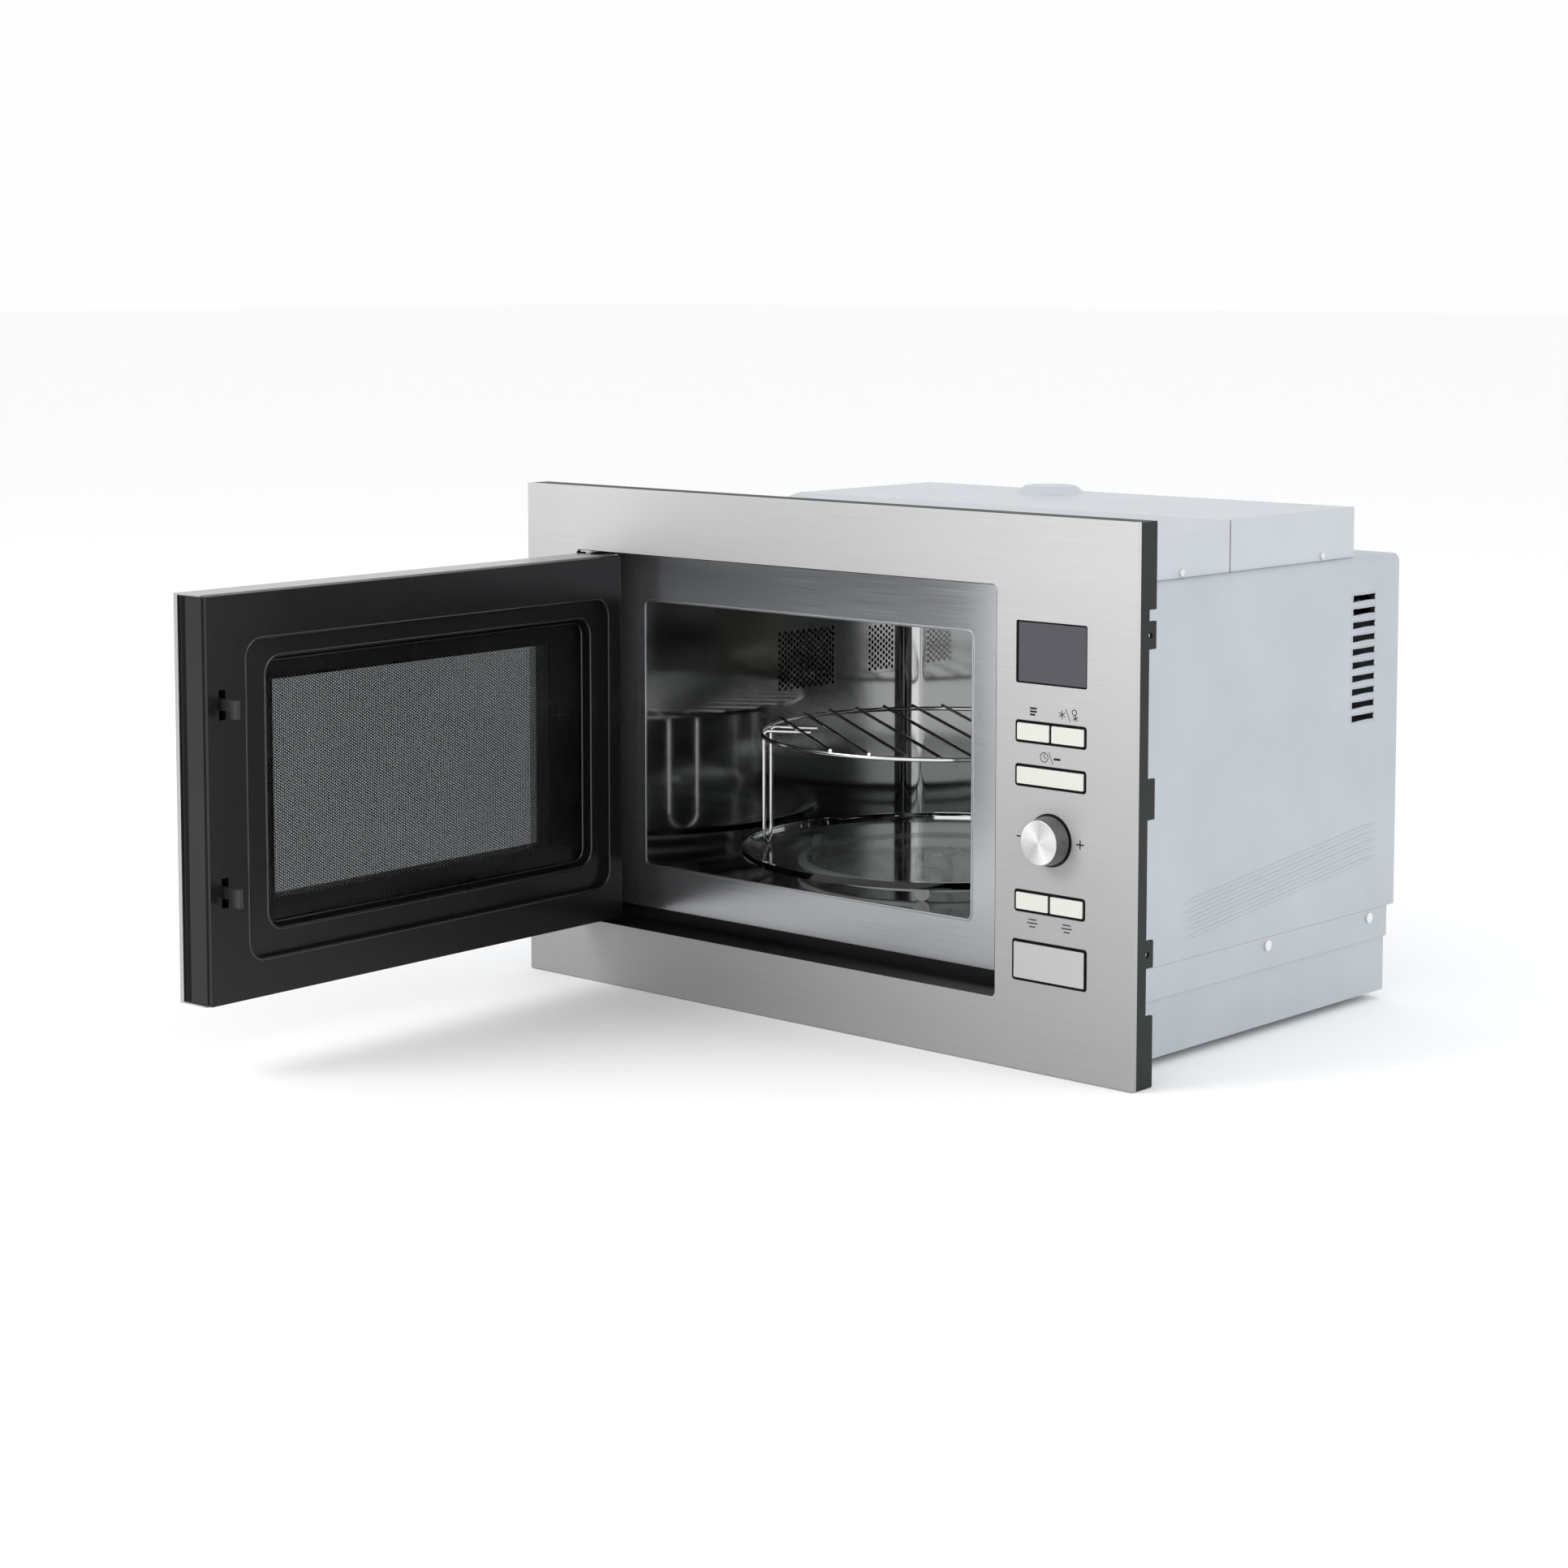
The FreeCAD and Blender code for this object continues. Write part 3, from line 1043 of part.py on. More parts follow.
def body():
    """Outer cover, base pan, rear panel, the raised duct on top, feet, screws and the cord gland."""
    side = (f"-{SIDE}", SIDE)
    low = "seam_level - 3*cover_radius"
    arch = slab(side, ("cover_front", "cover_rear"), (low, "cover_top"), radius="cover_radius")
    inside = slab(grown(side, "-cover_sheet"), ("cover_front - 1", "cover_rear + 1"), (low, COVER_INSIDE_TOP),
                  radius="cover_radius - cover_sheet")
    wrap = cut(arch, inside, box(grown(side, "1"), ("cover_front - 1", "cover_rear + 1"),
                                 (f"{low} - 1", "seam_level")))
    slots = []
    louvre_y = around("cover_rear - louvre_inset", "louvre_length")
    for number in range(int(SIZES["louvre_count"])):
        level = f"(cover_top - louvre_drop - {number} * louvre_pitch)"
        slots.append(box((f"{INSIDE} - 1", f"{SIDE} + 1"), louvre_y, around(level, "louvre_height")))
    keep("outer_cover", cut(wrap, *slots))

    band = (f"{PLATE_BACK} + cover_sheet", "base_rear")
    tub = grown(side, "-tub_inset")
    solid = joined(box(side, band, ("band_level", "seam_level")),
                   box(tub, band, ("base_bottom", "band_level")))
    hollow = joined(box(grown(side, "-cover_sheet"), grown(band, "-cover_sheet"),
                        ("band_level + cover_sheet", "seam_level + 1")),
                    box(grown(tub, "-cover_sheet"), grown(band, "-cover_sheet"), (FLOOR, "seam_level + 1")))
    vents = []
    for number in range(9):
        x = f"{OPEN_LEFT} + {40 + 14 * number}"
        vents.append(box(around(x, "5"), around("base_rear/2", "80"), ("base_bottom - 1", f"{FLOOR} + 1")))
    keep("base_pan", cut(cut(solid, hollow), *vents))

    rear_y = ("base_rear - cover_sheet", "base_rear")
    panel = slab(grown(side, "-2*cover_sheet"), rear_y, ("seam_level + 0.5", f"{COVER_INSIDE_TOP} - 0.2"),
                 radius="cover_radius")
    grille = []
    for row in range(8):
        for column in range(2):
            x = f"({BAY}/2 + {INSIDE}/2) + {-22 + 44 * column}"
            level = f"cavity_floor + {18 + 8 * row}"
            grille.append(box(around(x, "36"), grown(rear_y, "1"), around(level, "4")))
    gland_spot = (f"{INSIDE} - 24", "cover_top - 40")
    hole = rod("y", gland_spot, grown(rear_y, "1"), "8")
    keep("rear_panel", cut(panel, *grille, hole))
    grip = joined(rod("y", gland_spot, ("base_rear", "base_rear + 4"), "11"),
                  rod("y", gland_spot, ("base_rear - 8", "base_rear"), "8"))
    keep("cord_gland", cut(grip, rod("y", gland_spot, ("base_rear - 9", "base_rear + 5"), "4")))

    duct = DUCT
    raised = cut(box(duct, ("duct_front", "duct_rear"), ("cover_top", DUCT_TOP)),
                 box(grown(duct, "-cover_sheet"), ("duct_front + cover_sheet", "duct_rear - cover_sheet"),
                     ("cover_top - 1", f"{DUCT_TOP} - cover_sheet")))
    boss = cone("z", ("0", "duct_rear - boss_inset"), (f"{DUCT_TOP}", f"{DUCT_TOP} + boss_height"),
                ("boss_radius", "boss_radius * 0.72"))
    keep("top_duct", joined(raised, boss))
    outer = wedge(duct, ("slope_front", "duct_front - slope_seam"), "slope_start", "duct_height", "0")
    inner = wedge(grown(duct, "-cover_sheet"), ("slope_front", "duct_front - slope_seam"),
                  "slope_start - cover_sheet", "duct_height - cover_sheet", "cover_sheet")
    keep("duct_slope", cut(outer, inner))

    feet = []
    for x in ("-foot_spread", "foot_spread"):
        for y in ("3*foot_radius", "base_rear - 3*foot_radius"):
            feet.append(rod("z", (x, y), ("0", "base_bottom"), "foot_radius"))
    keep("feet", group(*feet))

    heads = []
    for sign in (-1, 1):
        near = f"{sign} * {SIDE}"
        far = f"{sign} * ({SIDE} + screw_head)"
        ends = (near, far) if sign > 0 else (far, near)
        for place in ("183", "320"):
            heads.append(rod("x", (place, "seam_level - 6"), ends, "screw_radius"))
    for place in ("slope_front + 72", "duct_front + 118"):
        heads.append(rod("x", (place, "cover_top + 4"), (DUCT[1], f"{DUCT[1]} + screw_head"), "2.5"))
    for x in ("-200", "0", "200"):
        head = ("base_rear", "base_rear + screw_head")
        heads.append(rod("y", (x, "seam_level + 10"), head, "screw_radius"))
    keep("case_screws", group(*heads))


def wedge(x, y, low, high, inset):
    """A roof piece over the cover that rises from low at the front to high at the back."""
    item = doc.addObject("Part::Wedge", "Wedge")
    bottom = "cover_top" if inset == "0" else "cover_top - 1"
    front = f"{y[0]} + {inset}"
    bind(item, Xmin=x[0], Xmax=x[1], X2min=x[0], X2max=x[1], Ymin=front, Ymax=f"{y[1]} - {inset}",
         Zmin=bottom, Z2min=bottom, Zmax=f"cover_top + {low}", Z2max=f"cover_top + {high}")
    return item


def check_and_write():
    """Refuse a failed object or shape, then write one STEP file for each sub-part."""
    doc.recompute()
    for item in doc.Objects:
        if "Invalid" in item.State or "Error" in item.State:
            raise RuntimeError(f"{item.Name} ({item.Label}) failed: {item.State}")
    os.makedirs("parts", exist_ok=True)
    for item in NODES:
        shape = item.Shape
        if shape.isNull() or not shape.isValid() or not shape.Solids:
            raise RuntimeError(f"{item.Label} has no valid solid")
        shape.exportStep(f"parts/{item.Label}.step")
        print(f"{item.Label}: {len(shape.Solids)} solids, {shape.Volume / 1000:.1f} cm3")
    print(len(NODES), "nodes")


trim_frame()
control_column()
door()
hinges()
latch_parts()
cavity()
turntable()
bay_parts()
body()
check_and_write()
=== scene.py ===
import json
import math

import bmesh
import bpy
from mathutils import Matrix, Vector


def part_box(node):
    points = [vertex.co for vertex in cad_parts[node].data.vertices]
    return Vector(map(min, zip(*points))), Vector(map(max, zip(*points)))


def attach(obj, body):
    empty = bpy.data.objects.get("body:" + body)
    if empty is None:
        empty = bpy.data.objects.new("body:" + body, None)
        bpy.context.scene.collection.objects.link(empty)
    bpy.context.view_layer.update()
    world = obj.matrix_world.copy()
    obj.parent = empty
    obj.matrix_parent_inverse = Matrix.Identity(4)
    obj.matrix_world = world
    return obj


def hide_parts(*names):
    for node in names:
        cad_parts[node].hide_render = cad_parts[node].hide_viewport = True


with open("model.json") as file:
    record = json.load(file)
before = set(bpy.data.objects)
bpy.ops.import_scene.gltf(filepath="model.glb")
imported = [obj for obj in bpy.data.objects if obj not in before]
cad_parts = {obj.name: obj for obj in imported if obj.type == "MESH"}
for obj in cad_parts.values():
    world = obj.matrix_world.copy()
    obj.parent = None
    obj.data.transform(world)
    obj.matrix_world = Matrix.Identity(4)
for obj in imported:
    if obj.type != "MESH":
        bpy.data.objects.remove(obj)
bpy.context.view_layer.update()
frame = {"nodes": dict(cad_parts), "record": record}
MM = 0.001
nodes = frame["nodes"]

# textures: how long a brushed streak is for its width, and the heights of bumps in metres
STREAK_RATIO = 220.0
FINE_GRAIN = 0.00004
PLASTIC_GRAIN = 0.00005
# painted sheen: brightness painted round the turned face of the knob in place of its reflections, as
# (share of a turn, share of the colour)
PAINTED_KNOB_SHEEN = ((0.0, 0.72), (0.14, 1.0), (0.27, 0.66), (0.42, 0.9), (0.55, 0.7), (0.68, 1.0),
              (0.84, 0.62), (1.0, 0.72))

# sizes below are in millimetres
SCREEN_PITCH, SCREEN_HOLE, SCREEN_MARGIN = (1.79, 2.07), (0.62, 0.68), (8.5, 3.2)
VENT_PITCH, VENT_HOLE, VENT_MARGIN, VENT_DEPTH = (3.68, 5.1), (1.5, 1.62), (0.1, 0.1), 0.9
HOOD_LAP, HOOD_GAP, HOOD_DEPTH, HOOD_TAPER = 3, 0.2, 9, 4
RIB_COUNT, RIB_PITCH, RIB_WIDTH, RIB_HEIGHT = 5, 6.3, 3.4, 1.1
RIB_FRONT, RIB_FRONT_LEVEL, RIB_REAR, RIB_REAR_LEVEL = 70, 14, 22, 42
LOUVRE_COUNT, LOUVRE_PITCH, LOUVRE_DROP, LOUVRE_SETBACK = 10, 10.1, 30.6, 49
LOUVRE_HALF_LENGTH, LOUVRE_HALF_HEIGHT, LIP_WIDTH, LIP_HEIGHT = 16, 2.9, 2.6, 1.3
SUNK = 0.1
DOOR_GROOVES = ((0.0, 2.0), (2.9, 4.0), (24.2, 2.2))
GROOVE_START, GROOVE_PROUD, GROOVE_END = 3.8, 0.15, 1
RECESS_DEPTH, POCKET_STEP, POCKET_EDGE = 6, 12, 4
# the last three sizes are for a painted shadow line behind the trim's edge
DOOR_GAP_SIDE, DOOR_GAP_TOP, SHADOW_LINE_WIDTH, SHADOW_LINE_DEPTH, SHADOW_LINE_SETBACK = 1.5, 3, 0.5, 0.8, 1.0
JAMB_WALL = 12
PRINT_HEIGHT, BEZEL_AND_SHADOW_DEPTH = 0.04, 0.3


def metres(*sizes):
    """Millimetres to metres."""
    return tuple(size * MM for size in sizes)


# ---------------------------------------------------------------- materials
def new_material(name, color, metallic=0.0, roughness=0.5, **sockets):
    """A Principled material; further sockets are named with _ for each space."""
    mat = bpy.data.materials.new(name)
    mat.use_nodes = True
    shader = mat.node_tree.nodes["Principled BSDF"]
    shader.inputs["Base Color"].default_value = (*color, 1.0)
    shader.inputs["Metallic"].default_value = metallic
    shader.inputs["Roughness"].default_value = roughness
    for socket, value in sockets.items():
        shader.inputs[socket.replace("_", " ")].default_value = value
    return mat


def stretched_noise(mat, scale, stretch=(1, 1, 1), detail=6.0):
    """Noise in the object's own space, squeezed along the axes that stretch gives."""
    tree = mat.node_tree
    place = tree.nodes.new("ShaderNodeTexCoord")
    mapping = tree.nodes.new("ShaderNodeMapping")
    mapping.inputs["Scale"].default_value = stretch
    noise = tree.nodes.new("ShaderNodeTexNoise")
    noise.inputs["Scale"].default_value = scale
    noise.inputs["Detail"].default_value = detail
    tree.links.new(place.outputs["Object"], mapping.inputs["Vector"])
    tree.links.new(mapping.outputs["Vector"], noise.inputs["Vector"])
    return noise.outputs["Fac"]


def ramp(mat, source, low, high, start=0.3, end=0.7):
    """Map the source to colours or greys between low and high."""
    node = mat.node_tree.nodes.new("ShaderNodeValToRGB")
    node.color_ramp.elements[0].position = start
    node.color_ramp.elements[1].position = end
    node.color_ramp.elements[0].color = (*low, 1)
    node.color_ramp.elements[1].color = (*high, 1)
    mat.node_tree.links.new(source, node.inputs["Fac"])
    return node.outputs["Color"]


def grey(value):
    """The same value in all three channels."""
    return (value, value, value)


def feed(mat, source, socket):
    """Link a texture's output to a socket of the material's shader."""
    mat.node_tree.links.new(source, mat.node_tree.nodes["Principled BSDF"].inputs[socket])


def bump(mat, source, strength, distance):
    """Fine relief from a texture; the distance is in metres."""
    node = mat.node_tree.nodes.new("ShaderNodeBump")
    node.inputs["Strength"].default_value = strength
    node.inputs["Distance"].default_value = distance
    mat.node_tree.links.new(source, node.inputs["Height"])
    feed(mat, node.outputs["Normal"], "Normal")


def tangent_about(mat, axis):
    """Let the shader's smeared reflections follow rings about an axis."""
    tangent = mat.node_tree.nodes.new("ShaderNodeTangent")
    tangent.direction_type = "RADIAL"
    tangent.axis = axis.upper()
    feed(mat, tangent.outputs["Tangent"], "Tangent")


def brushed(name, color, along, roughness, depth=0.12, spread=0.05, tint=0.03, smear=0.0,
            metal=1.0, painted_shade=None):
    """Brushed sheet: fine streaks along one axis, and reflections smeared across them, with shade painted
    into the colour, darker towards the foot, when asked for.
    """
    mat = new_material(name, color, metallic=metal, roughness=roughness, Anisotropic=smear)
    if smear:
        tangent_about(mat, along)
    stretch = tuple(1.0 if axis == along else STREAK_RATIO for axis in "xyz")
    streaks = stretched_noise(mat, 14, stretch)
    low = tuple(c * (1 - tint) for c in color)
    high = tuple(min(1, c * (1 + tint)) for c in color)
    shade = ramp(mat, streaks, low, high)
    if painted_shade:
        shade = painted_shade_below(mat, shade, *painted_shade)
    feed(mat, shade, "Base Color")
    feed(mat, ramp(mat, streaks, grey(roughness - spread), grey(roughness + spread)), "Roughness")
    bump(mat, streaks, depth, FINE_GRAIN)
    return mat


def painted_shade_below(mat, shade, foot, head, share):
    """Painted shade: the colour falls to a share of itself from the head's height down to the foot's, in
    metres.
    """
    nodes, links = mat.node_tree.nodes, mat.node_tree.links
    place = nodes.new("ShaderNodeTexCoord")
    parts = nodes.new("ShaderNodeSeparateXYZ")
    links.new(place.outputs["Object"], parts.inputs[0])
    span = nodes.new("ShaderNodeMapRange")
    span.inputs["From Min"].default_value = foot
    span.inputs["From Max"].default_value = head
    span.inputs["To Min"].default_value = share
    span.inputs["To Max"].default_value = 1.0
    links.new(parts.outputs["Z"], span.inputs["Value"])
    scaled = nodes.new("ShaderNodeVectorMath")
    scaled.operation = "SCALE"
    links.new(shade, scaled.inputs[0])
    links.new(span.outputs["Result"], scaled.inputs["Scale"])
    return scaled.outputs["Vector"]


def moulded(name, color, roughness, grain=900, depth=0.15, spread=0.06, gloss=0.5):
    """Moulded plastic: a fine grain with slightly uneven gloss."""
    mat = new_material(name, color, roughness=roughness, Specular_IOR_Level=gloss)
    fine = stretched_noise(mat, grain, detail=3)
    broad = stretched_noise(mat, 9, detail=4)
    feed(mat, ramp(mat, broad, grey(roughness - spread), grey(roughness + spread)), "Roughness")
    bump(mat, fine, depth, PLASTIC_GRAIN)
    return mat


def glass(name, color, roughness, clear=1.0, index=1.45):
    """Clear glass with a faintly uneven polish."""
    mat = new_material(name, color, roughness=roughness, Transmission_Weight=clear, IOR=index)
    wave = stretched_noise(mat, 25, detail=2)
    feed(mat, ramp(mat, wave, grey(roughness * 0.6), grey(roughness * 1.4)), "Roughness")
    return mat


def sheet_metal(name, color, roughness=0.42, metallic=0.55):
    """Galvanised sheet: soft spangle and faint cloudiness."""
    mat = new_material(name, color, metallic=metallic, roughness=roughness)
    cloud = stretched_noise(mat, 16, detail=5)
    low = tuple(c * 0.96 for c in color)
    high = tuple(min(1, c * 1.03) for c in color)
    feed(mat, ramp(mat, cloud, low, high), "Base Color")
    grain = stretched_noise(mat, 700, detail=2)
    feed(mat, ramp(mat, grain, grey(roughness - 0.05), grey(roughness + 0.05)), "Roughness")
    bump(mat, grain, 0.08, FINE_GRAIN)
    return mat


# painted shade: the trim's colour darkens towards the foot
STEEL = brushed("trim_steel", (0.56, 0.56, 0.56), "x", 0.50, tint=0.06, smear=0.7, metal=0.45,
                painted_shade=(0.02, 0.36, 0.62))
DOOR_STEEL = brushed("door_steel", (0.46, 0.455, 0.45), "y", 0.36)
# painted shade: the plate's colour darkens towards the foot
PLATE_STEEL = brushed("plate_steel", (0.80, 0.815, 0.84), "x", 0.22, depth=0.1, spread=0.03, tint=0.16,
                      smear=0.3, metal=0.9, painted_shade=(0.03, 0.33, 0.45))
CAVITY_STEEL = brushed("cavity_steel", (0.505, 0.51, 0.51), "z", 0.09, depth=0.008, spread=0.012)
REFLECTOR = brushed("reflector", (0.75, 0.75, 0.74), "x", 0.16, depth=0.02, spread=0.02, tint=0.02)
GALVANISED = sheet_metal("galvanised", (0.46, 0.495, 0.53))
DUCT_SHEET = sheet_metal("duct_sheet", (0.53, 0.56, 0.59), roughness=0.38)
CARRIER = moulded("carrier_plastic", (0.010, 0.013, 0.012), 0.55, gloss=0.3)
DOOR_PLASTIC = moulded("door_plastic", (0.007, 0.007, 0.008), 0.26, grain=1400, depth=0.06, gloss=0.28)
BLACK = moulded("black_plastic", (0.004, 0.004, 0.004), 0.36, gloss=0.22)
HOOK = moulded("hook_plastic", (0.022, 0.022, 0.023), 0.34)
GLOSS = moulded("bead_gloss", (0.006, 0.006, 0.007), 0.10, grain=300, depth=0.02, spread=0.03, gloss=0.7)
IVORY = moulded("key_plastic", (0.70, 0.70, 0.645), 0.38, grain=600, depth=0.05)
SILVER = brushed("release_silver", (0.56, 0.56, 0.56), "x", 0.38, depth=0.1)
WHITE = moulded("white_plastic", (0.68, 0.68, 0.65), 0.45)
RUBBER = moulded("rubber", (0.02, 0.02, 0.02), 0.75)
DISPLAY = moulded("display_lens", (0.048, 0.045, 0.058), 0.20, grain=200, depth=0.01, spread=0.03,
                  gloss=0.6)
BOARD = moulded("board_green", (0.03, 0.12, 0.05), 0.45)
IRON = moulded("core_iron", (0.06, 0.06, 0.065), 0.5)
COPPER = brushed("winding_copper", (0.50, 0.20, 0.09), "z", 0.4)
PLATED = brushed("plated_steel", (0.55, 0.55, 0.54), "z", 0.3)
CHROME = brushed("chrome_wire", (0.80, 0.80, 0.79), "x", 0.13, depth=0.01, spread=0.02, tint=0.01)
MICA = moulded("mica", (0.45, 0.41, 0.34), 0.35)
DARK_SCREEN = moulded("screen_black", (0.010, 0.010, 0.010), 0.45, grain=500, depth=0.05)
GLASS = glass("tray_glass", (0.92, 0.98, 0.95), 0.03, index=1.48)
INNER_GLASS = glass("door_pane", (0.96, 0.97, 0.97), 0.02, index=1.1)
DOOR_GLASS = glass("window_glass", (0.30, 0.31, 0.32), 0.03, index=1.1)
LAMP = glass("lamp_glass", (0.9, 0.88, 0.8), 0.1, clear=0.8)
QUARTZ = glass("quartz", (0.85, 0.85, 0.86), 0.1, clear=0.7)
# black plastic, darkened further as painted shade inside the door opening
JAMB_BLACK_AND_SHADE = moulded("jamb_black_and_shade", (0.004, 0.004, 0.004), 0.42, gloss=0.25)
# black for the rims round the keys, and for the painted shadow lines round the display and the opening
RIM_AND_SHADOW = moulded("rim_and_shadow_black", (0.002, 0.002, 0.002), 0.5, gloss=0.1)
PRINT = moulded("legend_print", (0.006, 0.006, 0.007), 0.6, gloss=0.15)
# painted shade: black for the dark behind the vent holes and inside the door's end grooves
SHADE_BLACK = moulded("painted_shade_black", (0.003, 0.003, 0.003), 0.6, gloss=0.1)


def spun(name, color, roughness):
    """Turned aluminium: rings about the Y axis smear the reflections, with a painted sheen, a fan of
    brighter and darker rays in the colour round the knob's middle.
    """
    mat = new_material(name, color, metallic=1.0, roughness=roughness, Anisotropic=0.75)
    tangent_about(mat, "y")
    grain = stretched_noise(mat, 900, detail=2)
    feed(mat, ramp(mat, grain, grey(roughness - 0.04), grey(roughness + 0.04)), "Roughness")
    low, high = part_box("knob")
    middle = (low + high) / 2
    tree_nodes, links = mat.node_tree.nodes, mat.node_tree.links
    place = tree_nodes.new("ShaderNodeTexCoord")
    centred = tree_nodes.new("ShaderNodeVectorMath")
    centred.inputs[1].default_value = tuple(-share for share in middle)
    face_on = tree_nodes.new("ShaderNodeMapping")
    face_on.inputs["Rotation"].default_value = (math.radians(90), 0, 0)
    fan = tree_nodes.new("ShaderNodeTexGradient")
    fan.gradient_type = "RADIAL"
    links.new(place.outputs["Object"], centred.inputs[0])
    links.new(centred.outputs["Vector"], face_on.inputs["Vector"])
    links.new(face_on.outputs["Vector"], fan.inputs["Vector"])
    painted_sheen = tree_nodes.new("ShaderNodeValToRGB")
    links.new(fan.outputs["Fac"], painted_sheen.inputs["Fac"])
    while len(painted_sheen.color_ramp.elements) < len(PAINTED_KNOB_SHEEN):
        painted_sheen.color_ramp.elements.new(0.5)
    for element, (position, share) in zip(painted_sheen.color_ramp.elements, PAINTED_KNOB_SHEEN):
        element.position = position
        element.color = (*[min(1.0, c * share) for c in color], 1)
    feed(mat, painted_sheen.outputs["Color"], "Base Color")
    return mat


SPUN = spun("spun_aluminium", (0.86, 0.86, 0.86), 0.26)
# painted shade: a darker copy of the knob's material, for its sides
KNOB_SHADED_SIDE = spun("knob_shaded_side", (0.30, 0.305, 0.31), 0.30)


# ---------------------------------------------------------------- geometry
def add_mesh(name, mesh, material, body, smooth=35, replaces=None):
    """Put a mesh in the scene as a piece that rides on a body."""
    piece = bpy.data.objects.new(name, mesh)
    bpy.context.scene.collection.objects.link(piece)
    mesh.materials.clear()
    mesh.materials.append(material)
    if smooth:
        mesh.shade_smooth()
        mesh.set_sharp_from_angle(angle=math.radians(smooth))
    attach(piece, body)
    if replaces:
        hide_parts(*replaces)
    return piece


def body_of(node):
    """The body that a node belongs to."""
    for body, members in frame["record"]["behaviour"]["bodies"].items():
        if node in members:
            return body
    raise ValueError(node)


def mesh_from(work, name, outward=True):
    """Turn a finished bmesh into a mesh, with its faces all turned outward if wanted."""
    if outward:
        bmesh.ops.recalc_face_normals(work, faces=work.faces)
    mesh = bpy.data.meshes.new(name)
    work.to_mesh(mesh)
    work.free()
    return mesh


def softened(node, material, width, segments=2):
    """A copy of a CAD node with its facets merged and its edges rounded; the width is in millimetres."""
    work = bmesh.new()
    work.from_mesh(nodes[node].data)
    bmesh.ops.remove_doubles(work, verts=work.verts, dist=1e-6)
    bmesh.ops.dissolve_limit(work, angle_limit=math.radians(0.6), verts=work.verts, edges=work.edges)
    mesh = mesh_from(work, f"{node}_shell", outward=False)
    piece = add_mesh(mesh.name, mesh, material, body_of(node), smooth=0, replaces=[node])
    mesh.shade_smooth()
    edge = piece.modifiers.new("edge", "BEVEL")
    edge.width = width * MM
    edge.segments = segments
    edge.limit_method = "ANGLE"
    edge.angle_limit = math.radians(35)
    edge.use_clamp_overlap = True
    even = piece.modifiers.new("even", "WEIGHTED_NORMAL")
    even.keep_sharp = True
    even.weight = 90
    return piece


def second_material(piece, material, chosen):
    """Give the faces that chosen picks another material."""
    piece.data.materials.append(material)
    for face in piece.data.polygons:
        if chosen(face):
            face.material_index = 1


def paint(node, material):
    """Give a carried-over CAD node its material and smooth its curved faces."""
    mesh = nodes[node].data
    mesh.materials.clear()
    mesh.materials.append(material)
    mesh.shade_smooth()
    mesh.set_sharp_from_angle(angle=math.radians(30))


PAINTED = (
    (PLATED, ("frame_brackets", "hinge_lower", "hinge_upper", "release_bracket", "turntable_motor",
              "magnetron", "encoder", "encoder_shaft", "door_choke_frame", "latch_spring")),
    (WHITE, ("latch_board", "release_lever", "turntable_coupler", "roller_ring", "roller_1", "roller_2",
             "roller_3")),
    (BLACK, ("microswitches", "fan_shroud", "fan_impeller", "cord_gland", "knob_collar")),
    (HOOK, ("latch_plate",)),
    (GALVANISED, ("rear_panel",)),
    (REFLECTOR, ("capacitor", "grill_reflector")),
    (QUARTZ, ("grill_heater",)),
    (LAMP, ("cavity_lamp",)),
    (IRON, ("transformer", "fan_motor")),
    (COPPER, ("transformer_windings",)),
    (BOARD, ("control_board",)),
    (MICA, ("waveguide_cover",)),
    (RUBBER, ("feet",)),
    (CHROME, ("case_screws", "wire_rack")),
    (DISPLAY, ("display_window",)),
    (DOOR_GLASS, ("door_window_glass",)),
    (INNER_GLASS, ("door_inner_glass",)),
    (GLASS, ("glass_tray",)),
)
KEYS = ("program_key", "defrost_key", "clock_key", "stop_key", "start_key")


def plain_nodes():
    """The CAD nodes that are shown as they are."""
    for material, painted in PAINTED:
        for node in painted:
            paint(node, material)


def rounded_nodes():
    """The CAD nodes whose sharp edges are rounded; widths are in millimetres."""
    knob = softened("knob", SPUN, 0.5, segments=3)
    # the knob's sides take the darker copy: painted shade
    second_material(knob, KNOB_SHADED_SIDE, lambda face: abs(face.normal.y) < 0.8)
    softened("front_frame", STEEL, 0.35)
    black_and_shaded_jamb(softened("frame_carrier", CARRIER, 0.4))
    softened("control_fascia", RIM_AND_SHADOW, 0.3)
    softened("door_front_panel", DOOR_STEEL, 0.4)
    softened("door_inner_frame", DOOR_PLASTIC, 0.9, segments=3)
    softened("cavity_front_plate", PLATE_STEEL, 0.3)
    softened("cavity_shell", CAVITY_STEEL, 0.3)
    softened("outer_cover", GALVANISED, 0.4)
    softened("base_pan", GALVANISED, 0.4)
    softened("top_duct", DUCT_SHEET, 0.4)
    softened("duct_slope", DUCT_SHEET, 0.4)
    softened("door_release_button", SILVER, 0.5)
    for key in KEYS:
        softened(key, IVORY, 0.3)


def black_and_shaded_jamb(carrier):
    """The carrier's inner walls, round the door opening, are black where its outer wall is grey: black
    plastic, darkened further as painted shade inside the opening.
    """
    low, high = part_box("frame_carrier")
    wall = JAMB_WALL * MM

    def inner(face):
        spot = face.center
        return low.x + wall < spot.x < high.x - wall and low.z + wall < spot.z < high.z - wall

    second_material(carrier, JAMB_BLACK_AND_SHADE, inner)


def joint_row(name):
    """The record's row for a joint."""
    for row in frame["record"]["behaviour"]["joints"]:
        if row["name"] == name:
            return row
    raise ValueError(name)


